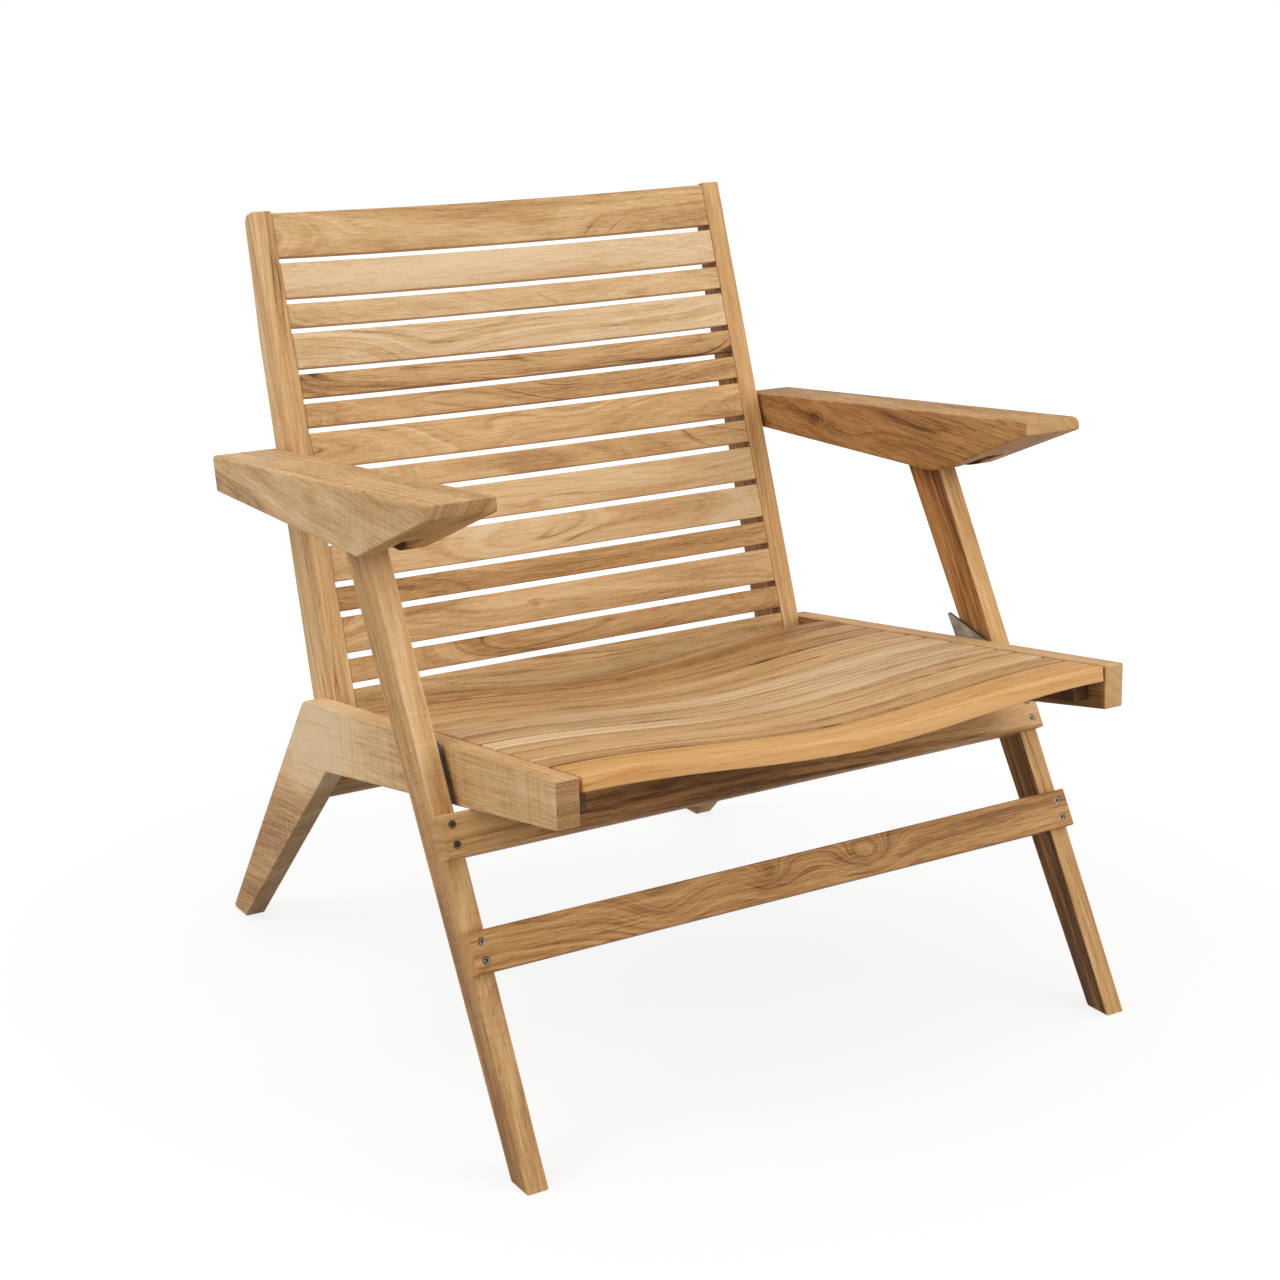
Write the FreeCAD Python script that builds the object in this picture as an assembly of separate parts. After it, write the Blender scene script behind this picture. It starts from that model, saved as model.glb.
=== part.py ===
import FreeCAD, Part
import math
import os

# Folding lounge armchair made of solid teak boards, for a patio or porch.
#
# Two boomerang shaped side boards carry twelve dished seat slats and end in the rear legs.
# A slatted backrest turns on two pins at the bend of the side boards. Two straight front legs,
# joined by two cross stretchers, turn on steel plates beside the side boards, and run up into
# slots under the armrests. Each armrest turns on a pin in the backrest and on a pin in its
# front leg. The four pins of one side stand at the corners of a parallelogram, so backrest,
# front legs and armrests fold together, and the armrests stay level while they come down.
#
# Millimetres. While it is drawn, X is 0 in the middle of the chair, Y is 0 at the front ends of
# the side boards and grows to the rear, and Z is 0 on the floor. At the end everything is moved
# so that the origin is under the middle of the chair. Pieces are drawn on the right (+X) side
# and mirrored for the left.

# Stations across the chair, from the middle outwards
SIDE_BOARD_INNER_X = 278.0
SIDE_BOARD_THICKNESS = 22.0
STILE_THICKNESS = 22.0
STILE_SIDE_GAP = 0.5
LEG_SIDE_GAP = 7.0
LEG_THICKNESS = 21.0
ARM_WIDTH = 67.0
ARM_OVERHANG = 20.5
SEAT_SLAT_END_GAP = 2.5

# Side board, which is seat rail and rear leg in one
RAIL_FRONT_TOP_Z = 359.8
RAIL_FRONT_HEIGHT = 41.7
RAIL_TOP_SLOPE = 7.16
RAIL_UNDERSIDE_SLOPE = 10.2
REAR_LEG_HEEL_Y = 748.9
REAR_LEG_BACK_LEAN = 37.74
REAR_FOOT_LENGTH = 35.6
KNEE_Y = 470.0
KNEE_RADIUS = 9.0
BEND_RADIUS = 24.0
REAR_HEEL_RADIUS = 3.0
RAIL_NOSE_RADIUS = 1.5

# Front leg, measured up its front face from the toe
FRONT_TOE_Y = 16.5
FRONT_LEG_LEAN = 28.5
FRONT_LEG_FOOT_WIDTH = 25.1
FRONT_LEG_TAPER = 0.0383
FRONT_LEG_PIN_UP = 602.0
FRONT_HEEL_RADIUS = 4.0
LEG_TOP_ROUNDNESS = 0.48

# Cross stretchers, half lapped into the fronts of the front legs
STRETCHER_THICKNESS = 22.0
STRETCHER_LAP = 10.0
UPPER_STRETCHER_HEIGHT = 38.0
LOWER_STRETCHER_HEIGHT = 36.4
LOWER_STRETCHER_UP = 184.0
STOP_CLEARANCE = 0.4
STRETCHER_SCREW_INSET = 11.0
STRETCHER_SCREW_EDGE = 10.0

# Rear cross rail, tenoned between the rear legs
CROSS_RAIL_HEIGHT = 28.0
CROSS_RAIL_DEPTH = 24.0
CROSS_RAIL_BELOW_KNEE = 35.0
CROSS_RAIL_TENON = 12.0
TENON_SHOULDER = 5.0

# Seat slats, laid in the slope of the side boards, from front to rear
SEAT_SLAT_WIDTHS = ["front", "narrow", "wide", "narrow", "narrow", "wide",
                    "wide", "narrow", "wide", "narrow", "wide", "wide"]
SEAT_FRONT_WIDTH = 50.0
SEAT_WIDE_WIDTH = 36.0
SEAT_NARROW_WIDTH = 24.0
SEAT_SLAT_GAP = 5.4
SEAT_SETBACK = 0.5
SEAT_SLAT_THICKNESS = 14.0
SEAT_DISH = 15.0
SEAT_LAST_CORNER_CUT = 9.0

# Cleats under the ends of the seat slats
CLEAT_WIDTH = 18.0
CLEAT_HEIGHT = 20.0
CLEAT_SETBACK = 26.0
CLEAT_SCREWS = 4

# Backrest stile, measured up its front face from the level of the pin in the side board
BACK_LEAN = 18.45
STILE_FRONT_OFFSET = 11.2
STILE_LENGTH = 504.0
STILE_BELOW_PIN = 23.0
STILE_DEPTH_AT_PIN = 57.0
STILE_DEPTH_AT_BREAK = 36.0
STILE_BREAK_UP = 378.0
STILE_DEPTH_AT_TOP = 20.0
STILE_BREAK_RADIUS = 120.0
STILE_TOP_RADIUS = 10.0
STILE_NOSE_RADIUS = 1.5
STILE_FOOT_RADIUS = 19.0

# Back slats, from top to bottom
BACK_SLAT_WIDTHS = ["top", "wide", "narrow", "wide", "narrow", "narrow", "wide",
                    "narrow", "wide", "wide", "narrow", "wide", "narrow", "wide"]
BACK_TOP_HEIGHT = 45.6
BACK_WIDE_HEIGHT = 36.0
BACK_NARROW_HEIGHT = 24.0
BACK_SLAT_GAP = 6.0
BACK_SLAT_THICKNESS = 11.5
BACK_SLAT_BOW = 13.0
BACK_TOP_BELOW_END = 2.4
BACK_TENON_LENGTH = 7.0
BACK_TENON_THICKNESS = 6.0
BACK_TENON_SHOULDER = 3.0

# Armrest, placed from its two pins
ARM_PIN_UP = 242.0
ARM_UNDERSIDE_BELOW_LEG_PIN = 19.4
ARM_FRONT_PAST_LEG_PIN = 203.5
ARM_REAR_PAST_BACK_PIN = 10.8
ARM_REAR_HEIGHT = 34.9
ARM_REAR_LEAN = 11.6
ARM_TOP_SLOPE = 4.27
ARM_NOSE_HEIGHT = 13.4
ARM_FLAT_PAST_LEG_PIN = 63.3
SLOT_SIDE_CLEARANCE = 0.4
SLOT_END_CLEARANCE = 1.2
SLOT_FRONT_SLOPE = 11.9

# Pivots
BACK_PIN_Y = 500.0
BACK_PIN_BELOW_TOP = 13.0
PIN_RADIUS = 4.0
PIN_RUNNING_CLEARANCE = 0.08
OPEN_PIN_CLEARANCE = 0.3
PIN_END_CLEARANCE = 0.5
PIN_IN_BOARD = 16.0
PIN_IN_STILE = 13.5
PIN_IN_ARM = 12.0
ARM_PIN_IN_ARM = 20.0
FULL_FOLD = 78.0
WASHER_RADIUS = 9.0
FACE_CLEARANCE = 0.3

# Steel hinge plate on the inner face of each front leg
PLATE_THICKNESS = 3.0
PLATE_WASHER_THICKNESS = 1.5
PLATE_LOBE_RADIUS = 14.0
PLATE_TIP_UP = 425.8
PLATE_TIP_BACK = 49.9
PLATE_FRONT_UP = 383.5
PLATE_FRONT_BACK = 5.4
PLATE_LOW_UP = 332.0
PLATE_LOW_BACK = 40.0
PLATE_REAR_UP = 398.6
PLATE_REAR_BACK = 48.0
PLATE_CORNER_RADIUS = 1.5
PLATE_SCREW_EDGE = 8.4
PLATE_SCREW_ABOVE_FRONT = 4.2
PAD_INSET = 3.0
PIN_HEAD_RADIUS = 8.0
PIN_HEAD_THICKNESS = 1.6

# Wood screws
SCREW_HEAD_RADIUS = 4.2
SCREW_HEAD_DEPTH = 2.4
SCREW_SHANK_RADIUS = 2.2
STRETCHER_SCREW_LENGTH = 40.0
PLATE_SCREW_LENGTH = 17.0
SLAT_SCREW_LENGTH = 28.0
CLEAT_SCREW_LENGTH = 34.0

# Eased edges of the boards and of the thin slats, never more than a share of the thickness
BOARD_EASE = 1.6
SLAT_EASE = 1.2
MOST_EASE_SHARE = 0.4

# How far a cutter runs past what it cuts, and what counts as no distance at all
CUTTER_OVERRUN = 10.0
NOTHING = 0.001


class Axes:
    """Two directions in the side view, from a starting point.

    along and across are unit (y, z) pairs, and at() turns two distances into a (y, z) point.
    """

    def __init__(self, start, along, across):
        self.start = start
        self.along = along
        self.across = across

    def at(self, a, b=0.0):
        y = self.start[0] + a * self.along[0] + b * self.across[0]
        z = self.start[1] + a * self.along[1] + b * self.across[1]
        return (y, z)


def leaning(start, lean):
    """Axes of a leaning post: up its front face, and square to that towards the rear."""
    a = math.radians(lean)
    return Axes(start, (math.sin(a), math.cos(a)), (math.cos(a), -math.sin(a)))


def sloping(start, slope):
    """Axes of a board that falls to the rear: rearward along its top, and square above it."""
    a = math.radians(slope)
    return Axes(start, (math.cos(a), -math.sin(a)), (math.sin(a), math.cos(a)))


def meet(p, p_dir, q, q_dir):
    """The point where two lines in the side view cross, each given by a point and a direction."""
    cross = p_dir[0] * q_dir[1] - p_dir[1] * q_dir[0]
    t = ((q[0] - p[0]) * q_dir[1] - (q[1] - p[1]) * q_dir[0]) / cross
    return (p[0] + t * p_dir[0], p[1] + t * p_dir[1])


def side_view(x):
    """Places a (y, z) point of the side view at one station across the chair."""
    return lambda y, z: FreeCAD.Vector(x, y, z)


def outline(corners, place):
    """A closed wire through corners (a, b) or (a, b, radius), with tangent arcs at the radii."""
    edges = []
    points = [place(c[0], c[1]) for c in corners]
    count = len(corners)
    starts = []
    ends = []
    for i in range(count):
        radius = corners[i][2] if len(corners[i]) > 2 else 0.0
        to_last = (points[i - 1] - points[i]).normalize()
        to_next = (points[(i + 1) % count] - points[i]).normalize()
        half = to_last.getAngle(to_next) / 2.0
        cut = radius / math.tan(half)
        start = points[i] + to_last * cut
        end = points[i] + to_next * cut
        if radius > 0.0:
            inward = (to_last + to_next).normalize()
            middle = points[i] + inward * (radius / math.sin(half) - radius)
            edges.append(Part.Arc(start, middle, end).toShape())
        starts.append(start)
        ends.append(end)
    for i in range(count):
        edges.append(Part.LineSegment(ends[i], starts[(i + 1) % count]).toShape())
    return Part.Wire(Part.__sortEdges__(edges))


def board(corners, x_low, x_high):
    """A flat board: an outline of the side view, as thick as from x_low to x_high."""
    face = Part.Face(outline(corners, side_view(x_low)))
    return face.extrude(FreeCAD.Vector(x_high - x_low, 0, 0))


def eased(shape, radius, x_low, x_high):
    """Rounds the edges that lie in the two flat faces of a board."""
    rim = []
    for edge in shape.Edges:
        xs = [v.X for v in edge.Vertexes]
        if max(xs) - x_low < NOTHING or x_high - min(xs) < NOTHING:
            rim.append(edge)
    return shape.makeFillet(min(radius, MOST_EASE_SHARE * (x_high - x_low)), rim)


def rod(centre, x_low, x_high, radius):
    """A round rod or hole along X about a (y, z) point."""
    foot = FreeCAD.Vector(x_low, centre[0], centre[1])
    return Part.makeCylinder(radius, x_high - x_low, foot, FreeCAD.Vector(1, 0, 0))


def ring(centre, x_low, x_high, radius):
    """A washer for a pivot pin."""
    return rod(centre, x_low, x_high, radius).cut(rod(centre, x_low, x_high, PIN_RADIUS))


def screw(head, direction, length):
    """A countersunk wood screw from the middle of its head, pointing along direction."""
    cone = Part.makeCone(SCREW_HEAD_RADIUS, SCREW_SHANK_RADIUS, SCREW_HEAD_DEPTH, head, direction)
    shank = Part.makeCylinder(SCREW_SHANK_RADIUS, length, head, direction)
    return cone.fuse(shank).removeSplitter()


def mirrored(shape):
    """The same piece on the other side of the chair."""
    return shape.mirror(FreeCAD.Vector(0, 0, 0), FreeCAD.Vector(1, 0, 0))


def both(shape):
    """A right hand piece and its left hand twin, as two separate solids."""
    return Part.makeCompound([shape, mirrored(shape)])


# Stations that follow from the driving sizes
SIDE_BOARD_OUTER_X = SIDE_BOARD_INNER_X + SIDE_BOARD_THICKNESS
STILE_OUTER_X = SIDE_BOARD_INNER_X - STILE_SIDE_GAP
STILE_INNER_X = STILE_OUTER_X - STILE_THICKNESS
LEG_INNER_X = SIDE_BOARD_OUTER_X + LEG_SIDE_GAP
LEG_OUTER_X = LEG_INNER_X + LEG_THICKNESS
ARM_OUTER_X = LEG_OUTER_X + ARM_OVERHANG
ARM_INNER_X = ARM_OUTER_X - ARM_WIDTH
SEAT_SLAT_END_X = SIDE_BOARD_INNER_X - SEAT_SLAT_END_GAP
CLEAT_INNER_X = SIDE_BOARD_INNER_X - CLEAT_WIDTH
PLATE_WASHER_X = SIDE_BOARD_OUTER_X + FACE_CLEARANCE
PLATE_INNER_X = PLATE_WASHER_X + PLATE_WASHER_THICKNESS
PLATE_OUTER_X = PLATE_INNER_X + PLATE_THICKNESS

# Lines of the side boards and front legs
SEAT = sloping((0.0, RAIL_FRONT_TOP_Z), RAIL_TOP_SLOPE)
UNDERSIDE = sloping((0.0, RAIL_FRONT_TOP_Z - RAIL_FRONT_HEIGHT), RAIL_UNDERSIDE_SLOPE)
REAR_BACK = leaning((REAR_LEG_HEEL_Y, 0.0), -REAR_LEG_BACK_LEAN)
BEND = meet(SEAT.start, SEAT.along, REAR_BACK.start, REAR_BACK.along)
KNEE = (KNEE_Y, UNDERSIDE.start[1] - KNEE_Y * math.tan(math.radians(RAIL_UNDERSIDE_SLOPE)))
REAR_TOE = (REAR_LEG_HEEL_Y - REAR_FOOT_LENGTH, 0.0)
LEG = leaning((FRONT_TOE_Y, 0.0), FRONT_LEG_LEAN)


def leg_width(up):
    """Width of a front leg, square to its front face, at a distance up that face."""
    return FRONT_LEG_FOOT_WIDTH + FRONT_LEG_TAPER * up


# The four pins of one side, at the corners of a parallelogram
BACK_PIN = (BACK_PIN_Y, SEAT.start[1] - BACK_PIN_Y * math.tan(math.radians(RAIL_TOP_SLOPE))
            - BACK_PIN_BELOW_TOP)
STILE = leaning(leaning(BACK_PIN, BACK_LEAN).at(0.0, -STILE_FRONT_OFFSET), BACK_LEAN)


def stile_depth(up):
    """Depth of a backrest stile, square to its front face, below the break in its rear edge."""
    loss = (STILE_DEPTH_AT_PIN - STILE_DEPTH_AT_BREAK) / STILE_BREAK_UP
    return STILE_DEPTH_AT_PIN - loss * up


ARM_PIN = STILE.at(ARM_PIN_UP, stile_depth(ARM_PIN_UP) / 2.0)
LEG_PIN = LEG.at(FRONT_LEG_PIN_UP, leg_width(FRONT_LEG_PIN_UP) / 2.0)
LEG_PIVOT = (BACK_PIN[0] + LEG_PIN[0] - ARM_PIN[0], BACK_PIN[1] + LEG_PIN[1] - ARM_PIN[1])


def stretcher_stop():
    """Distance up the front legs at which the upper stretcher meets the side boards."""
    front = LEG.at(0.0, STRETCHER_LAP - STRETCHER_THICKNESS)
    under = UNDERSIDE.at(0.0, -STOP_CLEARANCE)
    corner = meet(front, LEG.along, under, UNDERSIDE.along)
    return (corner[1] - front[1]) / LEG.along[1]


UPPER_STRETCHER_UP = stretcher_stop() - UPPER_STRETCHER_HEIGHT


# Seat frame: side boards, cross rail, slats and cleats

def cross_rail_axes():
    """Axes of the cross rail: down the front of the rear legs from the knee, and inwards."""
    run = (REAR_TOE[0] - KNEE[0], REAR_TOE[1] - KNEE[1])
    length = math.hypot(run[0], run[1])
    along = (run[0] / length, run[1] / length)
    return Axes(KNEE, along, (-along[1], along[0]))


def cross_rail_section(inset):
    """Corners of the cross rail's section, drawn in by inset for its tenons."""
    axes = cross_rail_axes()
    top = CROSS_RAIL_BELOW_KNEE + inset
    bottom = CROSS_RAIL_BELOW_KNEE + CROSS_RAIL_HEIGHT - inset
    front = inset
    back = CROSS_RAIL_DEPTH - inset
    return [axes.at(top, front), axes.at(bottom, front), axes.at(bottom, back), axes.at(top, back)]


def cross_rail_tenon():
    reach = SIDE_BOARD_INNER_X + CROSS_RAIL_TENON
    return board(cross_rail_section(TENON_SHOULDER), SIDE_BOARD_INNER_X, reach)


def rear_cross_rail():
    body = board(cross_rail_section(0.0), -SIDE_BOARD_INNER_X, SIDE_BOARD_INNER_X)
    long_edges = [e for e in body.Edges if e.Length > SIDE_BOARD_INNER_X]
    body = body.makeFillet(BOARD_EASE, long_edges)
    return body.fuse([cross_rail_tenon(), mirrored(cross_rail_tenon())]).removeSplitter()


def side_board():
    corners = [
        (0.0, RAIL_FRONT_TOP_Z, RAIL_NOSE_RADIUS),
        (BEND[0], BEND[1], BEND_RADIUS),
        (REAR_LEG_HEEL_Y, 0.0, REAR_HEEL_RADIUS),
        (REAR_TOE[0], REAR_TOE[1]),
        (KNEE[0], KNEE[1], KNEE_RADIUS),
        (0.0, RAIL_FRONT_TOP_Z - RAIL_FRONT_HEIGHT, RAIL_NOSE_RADIUS),
    ]
    shape = board(corners, SIDE_BOARD_INNER_X, SIDE_BOARD_OUTER_X)
    shape = eased(shape, BOARD_EASE, SIDE_BOARD_INNER_X, SIDE_BOARD_OUTER_X)
    blind = SIDE_BOARD_INNER_X + PIN_IN_BOARD
    shape = shape.cut(rod(BACK_PIN, SIDE_BOARD_INNER_X, blind, PIN_RADIUS))
    bore = PIN_RADIUS + PIN_RUNNING_CLEARANCE
    deep = SIDE_BOARD_OUTER_X - PIN_IN_BOARD - PIN_END_CLEARANCE
    shape = shape.cut(rod(LEG_PIVOT, deep, SIDE_BOARD_OUTER_X, bore))
    return shape.cut([cross_rail_tenon()] + cleat_screws_right())


def seat_slat_width(kind):
    widths = {"front": SEAT_FRONT_WIDTH, "wide": SEAT_WIDE_WIDTH, "narrow": SEAT_NARROW_WIDTH}
    return widths[kind]


def seat_slat_spans():
    """Start and end of each seat slat, measured along the slope from the front."""
    spans = []
    start = SEAT_SETBACK
    for kind in SEAT_SLAT_WIDTHS:
        end = start + seat_slat_width(kind)
        spans.append((start, end))
        start = end + SEAT_SLAT_GAP
    return spans


def dished_wire(start):
    """Closed wire of a seat slat's long section: flat over the cleats, dished between them."""
    def place(x, above):
        y, z = SEAT.at(start, above)
        return FreeCAD.Vector(x, y, z)

    half = CLEAT_INNER_X / 2.0
    radius = (half ** 2 + (SEAT_DISH / 2.0) ** 2) / SEAT_DISH
    # Half way along an arc, it has fallen by the sagitta of half its turn
    drop = radius * (1.0 - math.cos(math.asin(half / radius) / 2.0))
    reach = radius * math.sin(math.asin(half / radius) / 2.0)

    def skin(base):
        end = place(-SEAT_SLAT_END_X, base)
        shoulder = place(-CLEAT_INNER_X, base)
        waist = place(-half, base - SEAT_DISH / 2.0)
        waist_right = place(half, base - SEAT_DISH / 2.0)
        shoulder_right = place(CLEAT_INNER_X, base)
        end_right = place(SEAT_SLAT_END_X, base)
        return [
            Part.LineSegment(end, shoulder).toShape(),
            Part.Arc(shoulder, place(-CLEAT_INNER_X + reach, base - drop), waist).toShape(),
            Part.Arc(waist, place(0.0, base - SEAT_DISH), waist_right).toShape(),
            Part.Arc(waist_right, place(CLEAT_INNER_X - reach, base - drop),
                     shoulder_right).toShape(),
            Part.LineSegment(shoulder_right, end_right).toShape(),
        ]

    ends = []
    for x in (-SEAT_SLAT_END_X, SEAT_SLAT_END_X):
        ends.append(Part.LineSegment(place(x, 0.0), place(x, -SEAT_SLAT_THICKNESS)).toShape())
    edges = skin(0.0) + skin(-SEAT_SLAT_THICKNESS) + ends
    return Part.Wire(Part.__sortEdges__(edges))


def seat_slat(span, last):
    start, end = span
    width = end - start
    run = FreeCAD.Vector(0, SEAT.along[0] * width, SEAT.along[1] * width)
    shape = Part.Face(dished_wire(start)).extrude(run)
    crosswise = []
    for edge in shape.Edges:
        xs = [v.X for v in edge.Vertexes]
        if max(xs) - min(xs) > NOTHING:
            crosswise.append(edge)
    shape = shape.makeFillet(min(SLAT_EASE, MOST_EASE_SHARE * SEAT_SLAT_THICKNESS), crosswise)
    if last:
        corner = rear_corner_cut(end)
        shape = shape.cut([corner, mirrored(corner)])
    return shape.cut(slat_screws_of(span))


def rear_corner_cut(end):
    """The wedge that takes off a rear corner of the last seat slat, seen from above."""
    cut = SEAT_LAST_CORNER_CUT
    points = [(SEAT_SLAT_END_X - cut, end), (SEAT_SLAT_END_X, end - cut), (SEAT_SLAT_END_X, end)]
    places = []
    for x, along in points:
        y, z = SEAT.at(along, CUTTER_OVERRUN)
        places.append(FreeCAD.Vector(x, y, z))
    face = Part.Face(Part.makePolygon(places + places[:1]))
    depth = -SEAT_SLAT_THICKNESS - 2.0 * CUTTER_OVERRUN
    return face.extrude(FreeCAD.Vector(0, SEAT.across[0] * depth, SEAT.across[1] * depth))


def slat_screws_of(span):
    """The two screws that come up through the cleats into one seat slat."""
    middle = max((span[0] + span[1]) / 2.0, CLEAT_SETBACK + CLEAT_WIDTH / 2.0)
    y, z = SEAT.at(middle, -SEAT_SLAT_THICKNESS - CLEAT_HEIGHT)
    x = CLEAT_INNER_X + CLEAT_WIDTH / 2.0
    up = FreeCAD.Vector(0, SEAT.across[0], SEAT.across[1])
    right = screw(FreeCAD.Vector(x, y, z), up, SLAT_SCREW_LENGTH)
    return [right, mirrored(right)]


def cleat_screws_right():
    """Screws that hold the right hand cleat against its side board."""
    spans = seat_slat_spans()
    first = CLEAT_SETBACK + CLEAT_WIDTH
    last = spans[-1][1] - CLEAT_WIDTH
    step = (last - first) / (CLEAT_SCREWS - 1)
    screws = []
    gaps = [(a[1] + b[0]) / 2.0 for a, b in zip(spans, spans[1:])]
    for i in range(CLEAT_SCREWS):
        wanted = first + i * step
        along = min(gaps, key=lambda gap: abs(gap - wanted))
        y, z = SEAT.at(along, -SEAT_SLAT_THICKNESS - CLEAT_HEIGHT / 2.0)
        head = FreeCAD.Vector(CLEAT_INNER_X, y, z)
        screws.append(screw(head, FreeCAD.Vector(1, 0, 0), CLEAT_SCREW_LENGTH))
    return screws


def seat_cleat():
    end = seat_slat_spans()[-1][1]
    top = -SEAT_SLAT_THICKNESS
    bottom = top - CLEAT_HEIGHT
    corners = [SEAT.at(CLEAT_SETBACK, top), SEAT.at(end, top), SEAT.at(end, bottom),
               SEAT.at(CLEAT_SETBACK, bottom)]
    shape = board(corners, CLEAT_INNER_X, SIDE_BOARD_INNER_X)
    holes = cleat_screws_right()
    for span in seat_slat_spans():
        holes.append(slat_screws_of(span)[0])
    return shape.cut(holes)


# Backrest: stiles and slats

def back_slat_height(kind):
    heights = {"top": BACK_TOP_HEIGHT, "wide": BACK_WIDE_HEIGHT, "narrow": BACK_NARROW_HEIGHT}
    return heights[kind]


def back_slat_spans():
    """Bottom and top of each back slat, measured up the stiles, from the top slat down."""
    spans = []
    top = STILE_LENGTH - BACK_TOP_BELOW_END
    for kind in BACK_SLAT_WIDTHS:
        bottom = top - back_slat_height(kind)
        spans.append((bottom, top))
        top = bottom - BACK_SLAT_GAP
    return spans


def back_place(up):
    """Places (x, depth behind the stile's front face) at a height up the stiles."""
    def place(x, depth):
        y, z = STILE.at(up, depth)
        return FreeCAD.Vector(x, y, z)
    return place


def along_stile(length):
    return FreeCAD.Vector(0, STILE.along[0] * length, STILE.along[1] * length)


def back_tenon(span):
    """The right hand tenon of a back slat."""
    bottom = span[0] + BACK_TENON_SHOULDER
    height = span[1] - span[0] - 2.0 * BACK_TENON_SHOULDER
    near = (BACK_SLAT_THICKNESS - BACK_TENON_THICKNESS) / 2.0
    far = near + BACK_TENON_THICKNESS
    reach = STILE_INNER_X + BACK_TENON_LENGTH
    corners = [(STILE_INNER_X, near), (reach, near), (reach, far), (STILE_INNER_X, far)]
    return Part.Face(outline(corners, back_place(bottom))).extrude(along_stile(height))


def back_slat(span):
    place = back_place(span[0])
    front = [place(-STILE_INNER_X, 0.0), place(0.0, BACK_SLAT_BOW), place(STILE_INNER_X, 0.0)]
    thick = BACK_SLAT_THICKNESS
    back = [place(-STILE_INNER_X, thick), place(0.0, BACK_SLAT_BOW + thick),
            place(STILE_INNER_X, thick)]
    edges = [
        Part.Arc(front[0], front[1], front[2]).toShape(),
        Part.LineSegment(front[2], back[2]).toShape(),
        Part.Arc(back[2], back[1], back[0]).toShape(),
        Part.LineSegment(back[0], front[0]).toShape(),
    ]
    shape = Part.Face(Part.Wire(edges)).extrude(along_stile(span[1] - span[0]))
    long_edges = [e for e in shape.Edges if e.Length > STILE_INNER_X]
    shape = shape.makeChamfer(min(SLAT_EASE, MOST_EASE_SHARE * thick), long_edges)
    tenon = back_tenon(span)
    return shape.fuse([tenon, mirrored(tenon)]).removeSplitter()


def back_stile():
    low = -STILE_BELOW_PIN
    corners = [
        STILE.at(low) + (STILE_FOOT_RADIUS,),
        STILE.at(STILE_LENGTH) + (STILE_NOSE_RADIUS,),
        STILE.at(STILE_LENGTH, STILE_DEPTH_AT_TOP) + (STILE_TOP_RADIUS,),
        STILE.at(STILE_BREAK_UP, STILE_DEPTH_AT_BREAK) + (STILE_BREAK_RADIUS,),
        STILE.at(low, stile_depth(low)) + (STILE_FOOT_RADIUS,),
    ]
    shape = board(corners, STILE_INNER_X, STILE_OUTER_X)
    shape = eased(shape, BOARD_EASE, STILE_INNER_X, STILE_OUTER_X)
    bore = PIN_RADIUS + PIN_RUNNING_CLEARANCE
    deep = STILE_OUTER_X - PIN_IN_STILE - PIN_END_CLEARANCE
    holes = [rod(pin, deep, STILE_OUTER_X, bore) for pin in (BACK_PIN, ARM_PIN)]
    for span in back_slat_spans():
        holes.append(back_tenon(span))
    return shape.cut(holes)


# Front legs, their stretchers and steel hinge plates

def front_leg():
    top = FRONT_LEG_PIN_UP + leg_width(FRONT_LEG_PIN_UP) / 2.0
    end_radius = LEG_TOP_ROUNDNESS * leg_width(top)
    heel = FRONT_LEG_FOOT_WIDTH * math.tan(math.radians(FRONT_LEG_LEAN))
    corners = [
        LEG.at(0.0),
        LEG.at(top) + (end_radius,),
        LEG.at(top, leg_width(top)) + (end_radius,),
        LEG.at(heel, FRONT_LEG_FOOT_WIDTH) + (FRONT_HEEL_RADIUS,),
    ]
    shape = board(corners, LEG_INNER_X, LEG_OUTER_X)
    shape = eased(shape, BOARD_EASE, LEG_INNER_X, LEG_OUTER_X)
    bore = PIN_RADIUS + OPEN_PIN_CLEARANCE
    holes = [rod(LEG_PIN, LEG_INNER_X, LEG_OUTER_X, bore)]
    for up, height in stretcher_rows():
        holes.append(board(stretcher_section(up, height), LEG_INNER_X, LEG_OUTER_X))
        holes += stretcher_screws_right(up, height)
    holes += plate_screws_right()
    return shape.cut(holes)


def stretcher_rows():
    """Distance up the legs and height of the upper and the lower stretcher."""
    return [(UPPER_STRETCHER_UP, UPPER_STRETCHER_HEIGHT),
            (LOWER_STRETCHER_UP, LOWER_STRETCHER_HEIGHT)]


def stretcher_section(up, height):
    proud = STRETCHER_LAP - STRETCHER_THICKNESS
    return [LEG.at(up, proud), LEG.at(up + height, proud),
            LEG.at(up + height, STRETCHER_LAP), LEG.at(up, STRETCHER_LAP)]


def stretcher_screws_right(up, height):
    screws = []
    rearward = FreeCAD.Vector(0, LEG.across[0], LEG.across[1])
    for along in (up + STRETCHER_SCREW_EDGE, up + height - STRETCHER_SCREW_EDGE):
        y, z = LEG.at(along, STRETCHER_LAP - STRETCHER_THICKNESS)
        head = FreeCAD.Vector(LEG_OUTER_X - STRETCHER_SCREW_INSET, y, z)
        screws.append(screw(head, rearward, STRETCHER_SCREW_LENGTH - STRETCHER_LAP))
    return screws


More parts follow.
